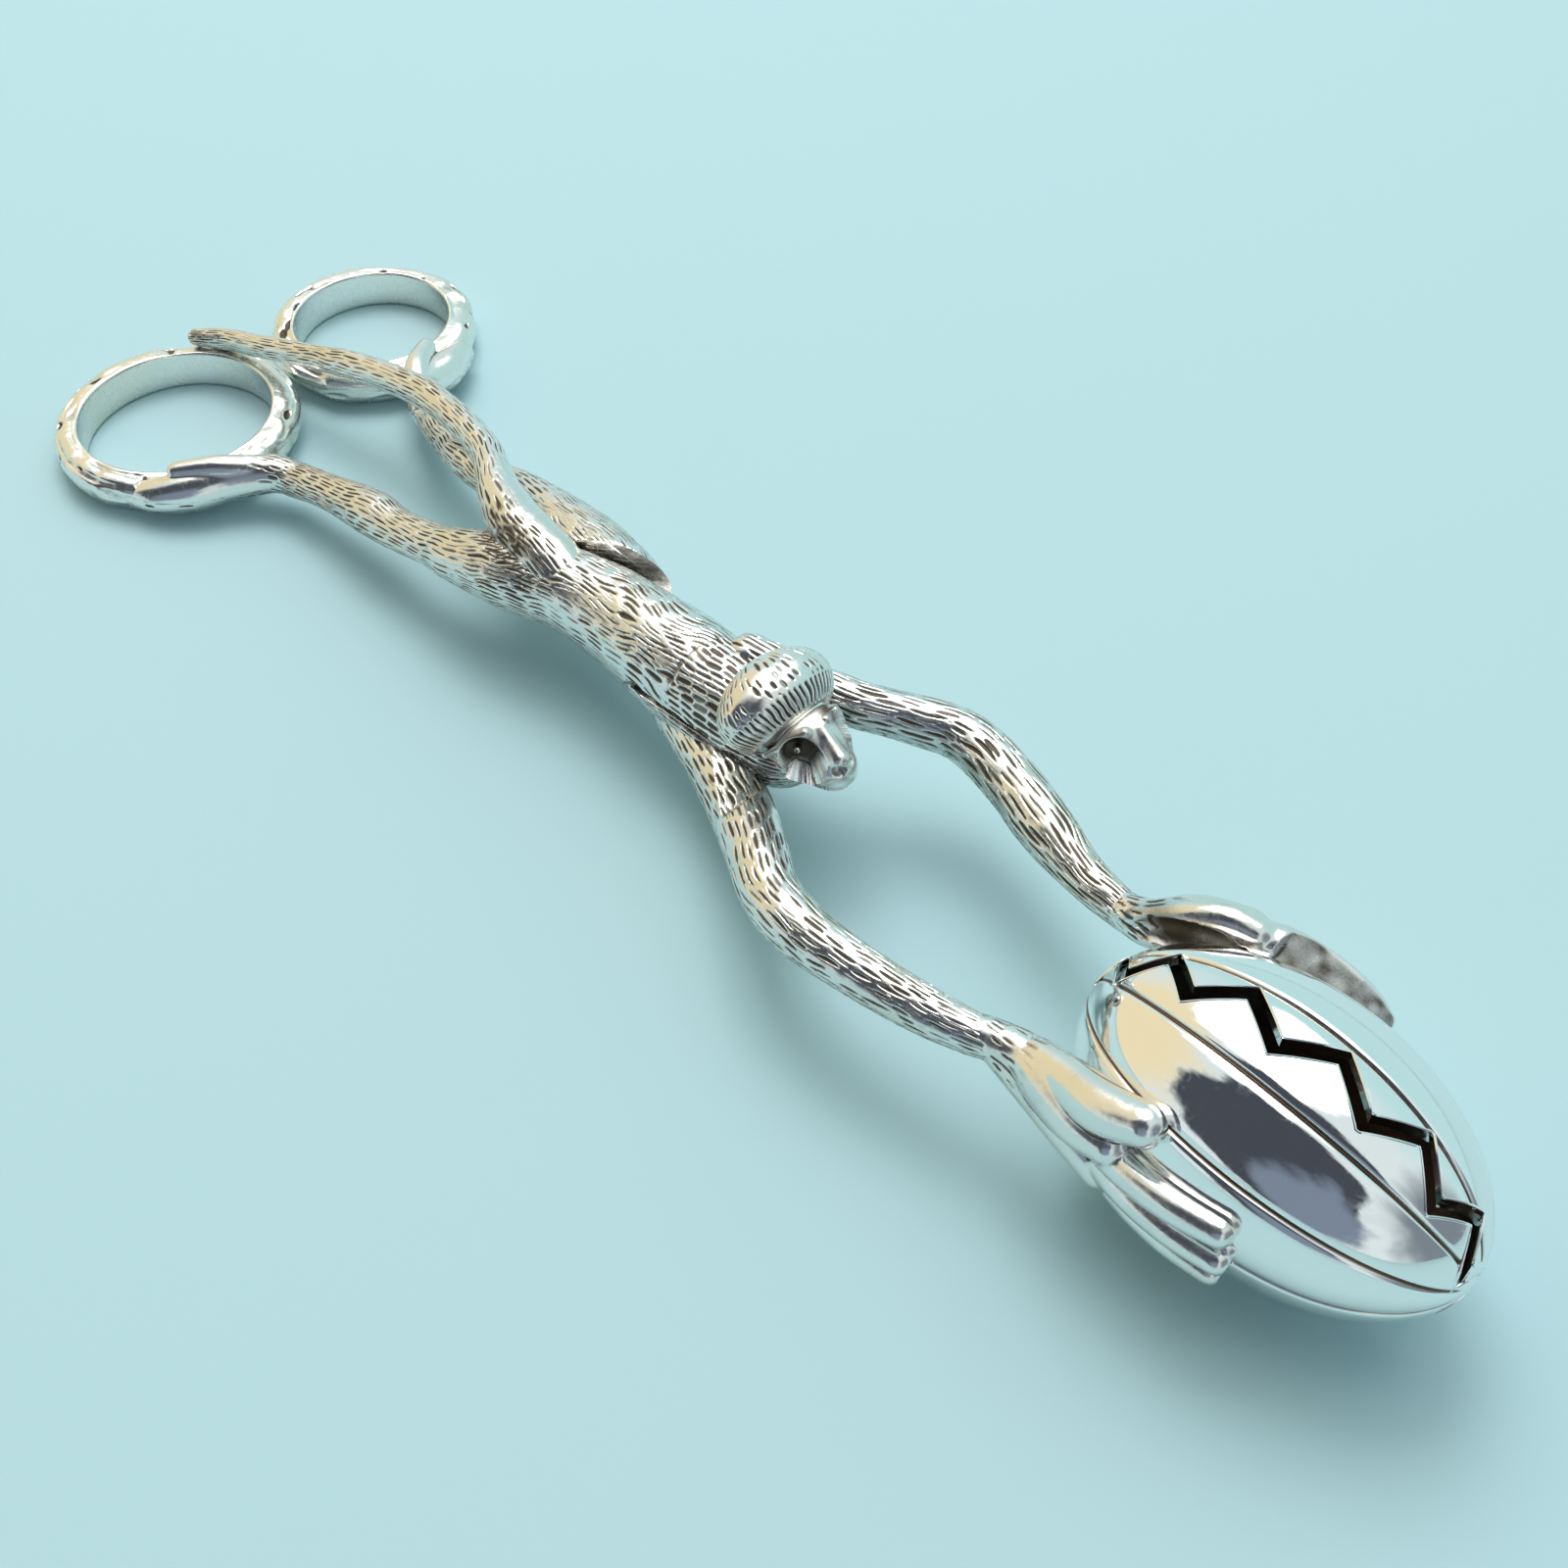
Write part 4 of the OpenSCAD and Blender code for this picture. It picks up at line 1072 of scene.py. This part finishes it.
def head_field(p):
    """Negative inside the head: face, muzzle, brow and cheeks melted together, sockets, nostrils and
    mouth taken away, eyes and nose put back, and the cap laid over all of it."""
    cap = egg_field(p, *CAP)
    face = egg_field(p, (22.4, -0.7, 17.3), (4.4, 4.9, 3.6))
    muzzle = egg_field(p, (26.7, -1.2, 16.3), (2.9, 2.7, 2.6))
    nose = rod_field(p, (24.6, -0.8, 20.0), (27.9, -1.3, 18.3), 0.5, 1.25)
    brow = melt(rod_field(p, (21.6, -6.0, 17.6), (24.0, -2.6, 20.2), 0.55, 0.6),
                rod_field(p, (24.2, 0.2, 20.4), (23.2, 3.2, 19.6), 0.5, 0.45), 0.4)
    cheek = melt(rod_field(p, (24.4, -4.6, 15.9), (27.0, -3.0, 15.8), 0.9, 0.8),
                 rod_field(p, (24.2, 2.6, 16.4), (27.0, 0.8, 16.0), 0.9, 0.8), 0.4)
    d = melt(melt(melt(face, muzzle, 1.0), brow, 0.4), cheek, 0.6)
    for eye in EYES:
        side = -1 if eye[1] < -0.8 else 1
        socket = egg_field(p, (eye[0] + 0.4, eye[1] + side * 0.9, eye[2] - 0.5), (2.7, 2.3, 2.7))
        d = hollow_out(d, socket, 0.3)
        d = melt(d, ball_field(p, eye, 2.6, -side * 0.7, 1.1, 1.3), 0.35)
        d = melt(d, ball_field(p, eye, 1.05, side * 0.15, 0.2, 0.40), 0.12)
    d = melt(d, nose, 0.6)
    for nostril in ((28.9, -2.2, 17.9), (29.3, -0.3, 18.3)):
        d = hollow_out(d, egg_field(p, nostril, (1.0, 0.75, 0.62)), 0.12)
    mouth = np.maximum(np.abs(p[..., 2] - 15.3 - 0.10 * (p[..., 1] + 1.2)**2 * 0.4) - 0.22, -(muzzle + 0.60))
    d = hollow_out(d, mouth, 0.2)
    d = d + 0.40 * np.exp(-(np.abs(cap) / 0.55)**2) * (p[..., 0] > 19)
    return melt(cap, d, 0.12)


# %% [markdown]
# The rays start on a ball round the head and aim at its middle. The grid's poles lie on X, behind the
# cap and in front of the muzzle, where a fan of triangles closes each of them.

# %% Head surface
rows, cols = ((210, 420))
middle = np.array([21.8, -0.7, 17.6])
START = 14.0      # mm from the middle, outside every part of the head
polar = np.radians(np.linspace(0, 180, rows + 2))[1:-1, None]
turn = (np.arange(cols) * 2 * math.pi / cols)[None]
ray = np.stack([-np.cos(polar) + 0 * turn, np.sin(polar) * np.cos(turn), np.sin(polar) * np.sin(turn)], -1)
reach = np.full(ray.shape[:2], START)
for _ in range(70):
    reach = reach - 0.7 * np.clip(head_field(middle + reach[..., None] * ray), -0.5, 2.0)
reach = np.clip(reach, 0.5, START)
p = middle + reach[..., None] * ray
print("head reaches from %.2f to %.2f mm" % (reach.min(), reach.max()))

# %% [markdown]
# The cap's hair is a row of short upright cuts along its front rim and a few scattered dashes behind
# them. They are placed by the cap's own turn about its length, so they stay square to the rim.

# %% Head piece
def grid_edges(rows, cols):
    """Pairs of neighbours along the rows and round the columns."""
    index = np.arange(rows * cols).reshape(rows, cols)
    return np.vstack([np.stack([index[:-1].ravel(), index[1:].ravel()], -1),
                      np.stack([index.ravel(), np.roll(index, -1, 1).ravel()], -1)])


quads, edges = grid_faces(rows, cols), grid_edges(rows, cols)
flat = p.reshape(-1, 3)
deep = hollows(flat, quads, edges, 12)
q = flat - np.array(CAP[0])
c, s = math.cos(math.radians(CAP[2])), math.sin(math.radians(CAP[2]))
front = q[:, 0] * c - q[:, 2] * s
rise = q[:, 0] * s + q[:, 2] * c
cap_turn = np.arctan2(rise / 5.0, q[:, 1] / 7.0)
on_cap = ease(0.25, 0.05, np.abs(egg_field(flat, *CAP)))
band = ease(0.9, 1.2, front) * ease(3.4, 3.0, front) * on_cap
upright = np.abs(np.mod(cap_turn / (2 * math.pi) * 54 + 0.25 * noise(flat, 1.1, 131.0), 1) - 0.5)
rim_cut = ease(0.30, 0.12, upright) * band * (0.5 + 0.5 * ease(-0.6, 0.2, noise(flat, 0.8, 132.0)))
dashes = strokes(cap_turn, front, flat, 44, 1.5, 133.0, wander=1.0, width=0.26, fill=0.8)
dashes = dashes * on_cap * ease(1.0, 0.6, front) * (0.3 + 0.7 * worn(flat, 134.0))
cuts = np.maximum(rim_cut, dashes)
normals = skin_normals(flat, quads)
lumps = 0.03 * (1 + noise(flat, 2.4, 135.0))
flat = flat - (0.17 * cuts + lumps)[:, None] * normals
sockets = sum(near(flat, (eye[0] - 0.9, eye[1] - 0.1, eye[2] - 0.3), (2.5, 2.4, 2.3)) for eye in EYES)
pupils = sum(near(flat, (eye[0] - 0.5, eye[1], eye[2] - 0.1), (0.45, 0.45, 0.35)) for eye in EYES)
sockets = sockets * (1 - pupils)
face_dark = (0.26 + 0.62 * ease(0.25, 0.8, sockets)) * ease(19.8, 21.5, flat[:, 0]) * (1 - on_cap)
dark = 0.85 * cuts + ease(0.02, 0.16, deep) + face_dark * ease(-0.12, 0.02, deep)
dark = np.clip(dark + 0.20 + 0.15 * noise(flat, 1.8, 136.0), 0, 1)
grid = flat.reshape(rows, cols, 3)
head = closed_grid("Head", grid, grid[0].mean(0), grid[-1].mean(0), dark.reshape(rows, cols))
carve(head, [block("Tool_h", [(-20, -20), (21.5, -20), (21.5, 20), (-20, 20)], -5, LAP + 0.06)])
finish_piece(head, smooth_silver, "upper_lever", "head", crease=75)

# %% [markdown]
# ## Screw and washer
# The screw and its spring washer are turned from steel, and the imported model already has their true
# shape. They only need a finish: fine rings from the lathe, which a wave texture gives.

# %% Turned steel
steel = bpy.data.materials.new("Turned_steel")
steel.use_nodes = True
tree = steel.node_tree
shader = tree.nodes["Principled BSDF"]
place = tree.nodes.new("ShaderNodeTexCoord").outputs["Object"]
lathe = node(tree, "ShaderNodeTexWave", Scale=2600.0, Distortion=0.4, Detail=2.0)
lathe.wave_type = "RINGS"
lathe.rings_direction = "Z"
tree.links.new(place, lathe.inputs["Vector"])
cloud = node(tree, "ShaderNodeTexNoise", Scale=700.0, Detail=4.0)
tree.links.new(place, cloud.inputs["Vector"])
tree.links.new(mix_colour(tree, cloud.outputs["Fac"], (0.50, 0.49, 0.47), (0.68, 0.67, 0.65)),
               shader.inputs["Base Color"])
shader.inputs["Metallic"].default_value = 1.0
rings = math_node(tree, "MULTIPLY", lathe.outputs["Fac"], 0.12)
tree.links.new(math_node(tree, "ADD", rings, 0.26), shader.inputs["Roughness"])
bump = node(tree, "ShaderNodeBump", Strength=0.15, Distance=0.00005)
tree.links.new(lathe.outputs["Fac"], bump.inputs["Height"])
tree.links.new(bump.outputs["Normal"], shader.inputs["Normal"])
for name in ("pivot_screw", "pivot_washer"):
    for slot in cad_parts[name].material_slots:
        slot.material = steel
print("steel on the screw and washer")

# %% [markdown]
# ## Floor, light and camera
# Silver has no look of its own: it shows what stands round it. So the surroundings matter more than
# the lamps: a pale floor, a wide white softbox overhead and towards the back for the highlights and
# the soft shadows, a cream wall behind the rings, and a dark patch round the camera, as a real
# camera and its operator make.

# %% Floor
SIDE, TABLE = 4.0, -0.0001      # metres: half the floor's width, and its height just under the tongs
floor_mesh = bpy.data.meshes.new("Floor")
floor_mesh.from_pydata([(-SIDE, -SIDE, TABLE), (SIDE, -SIDE, TABLE), (SIDE, SIDE, TABLE),
                        (-SIDE, SIDE, TABLE)], [], [(0, 1, 2, 3)])
floor = bpy.data.objects.new("Floor", floor_mesh)
bpy.context.scene.collection.objects.link(floor)
paper = bpy.data.materials.new("Pale_paper")
paper.use_nodes = True
paper_shader = paper.node_tree.nodes["Principled BSDF"]
paper_shader.inputs["Base Color"].default_value = (0.47, 0.68, 0.72, 1)
paper_shader.inputs["Roughness"].default_value = 0.85
floor_mesh.materials.append(paper)
print("floor: %.0f m wide" % (2 * SIDE))

# %% [markdown]
# The surroundings are painted on the sky by direction: each patch is a smooth spot round one of them.
# Straight-edged spots would draw hard curves on the mirror of the egg, which a real room does not, so
# the direction is first pushed about by a soft noise and made one unit long again.

# %% Surroundings
world = bpy.data.worlds.new("Studio")
bpy.context.scene.world = world
world.use_nodes = True
tree = world.node_tree
background = tree.nodes["Background"]
straight = tree.nodes.new("ShaderNodeTexCoord").outputs["Generated"]
clouds = node(tree, "ShaderNodeTexNoise", Scale=2.6, Detail=4.0, Roughness=0.55)
tree.links.new(straight, clouds.inputs["Vector"])
shifted = tree.nodes.new("ShaderNodeVectorMath")
shifted.operation = "MULTIPLY_ADD"
tree.links.new(clouds.outputs["Color"], shifted.inputs[0])
shifted.inputs[1].default_value, shifted.inputs[2].default_value = (0.5, 0.5, 0.5), (-0.25, -0.25, -0.25)
bent = tree.nodes.new("ShaderNodeVectorMath")
tree.links.new(straight, bent.inputs[0])
tree.links.new(shifted.outputs["Vector"], bent.inputs[1])
level = tree.nodes.new("ShaderNodeVectorMath")
level.operation = "NORMALIZE"
tree.links.new(bent.outputs["Vector"], level.inputs[0])
direction = level.outputs["Vector"]


def patch(spot, inner, outer):
    """1 within `inner` degrees of a direction, 0 beyond `outer` degrees: a smooth step on the dot product."""
    spot = np.array(spot) / np.linalg.norm(spot)
    dot = tree.nodes.new("ShaderNodeVectorMath")
    dot.operation = "DOT_PRODUCT"
    tree.links.new(direction, dot.inputs[0])
    dot.inputs[1].default_value = spot
    return ramp(tree, dot.outputs["Value"], math.cos(math.radians(outer)), math.cos(math.radians(inner)))


sky = (0.72, 0.82, 0.84)
colour = mix_colour(tree, patch((0.0, 1.0, 0.05), 30, 75), sky, (0.50, 0.76, 0.78))
colour = mix_colour(tree, patch((-1.0, -0.25, 0.25), 24, 44), colour, (0.86, 0.76, 0.50))
colour = mix_colour(tree, patch((0.06, -0.72, 0.62), 36, 42), colour, (0.06, 0.07, 0.09))
colour = mix_colour(tree, patch((0.40, -0.85, 0.34), 16, 26), colour, (0.20, 0.25, 0.33))
colour = mix_colour(tree, patch((1.0, 0.1, 0.25), 15, 40), colour, (0.20, 0.24, 0.28))
colour = mix_colour(tree, patch((-0.30, 0.28, 0.90), 28, 33), colour, (1.75, 1.75, 1.72))
tree.links.new(colour, background.inputs["Color"])
background.inputs["Strength"].default_value = 1.0
print("surroundings: sky, sweep, cream wall, dark patch, softbox")

# %% [markdown]
# One large, weak area lamp stands near where the painted softbox is, so that the tongs throw a soft
# shadow. The camera looks down at them at about 49 degrees.

# %% Lamp and camera
def lamp(name, at, aim, size, watts):
    """Square area light at a place in metres, turned to look at another."""
    light = bpy.data.lights.new(name, "AREA")
    light.size, light.energy = size, watts
    thing = bpy.data.objects.new(name, light)
    thing.location = at
    way = np.array(aim) - np.array(at)
    way = way / np.linalg.norm(way)
    thing.rotation_euler = (math.acos(-way[2]), 0, math.atan2(-way[0], way[1]))
    bpy.context.scene.collection.objects.link(thing)


lamp("Softbox", (-0.34, 0.24, 0.82), (0, 0, 0), 0.45, 3.0)
view = bpy.data.cameras.new("View")
view.lens, view.sensor_width = 40.5, 36.0
camera = bpy.data.objects.new("View", view)
camera.location = (0.1132, -0.0879, 0.1561)
camera.rotation_euler = (math.radians(40.6), 0, math.radians(47.3))
bpy.context.scene.collection.objects.link(camera)
bpy.context.scene.camera = camera
bpy.context.scene.view_settings.view_transform = "Standard"
print("camera: %.1f mm lens" % view.lens)
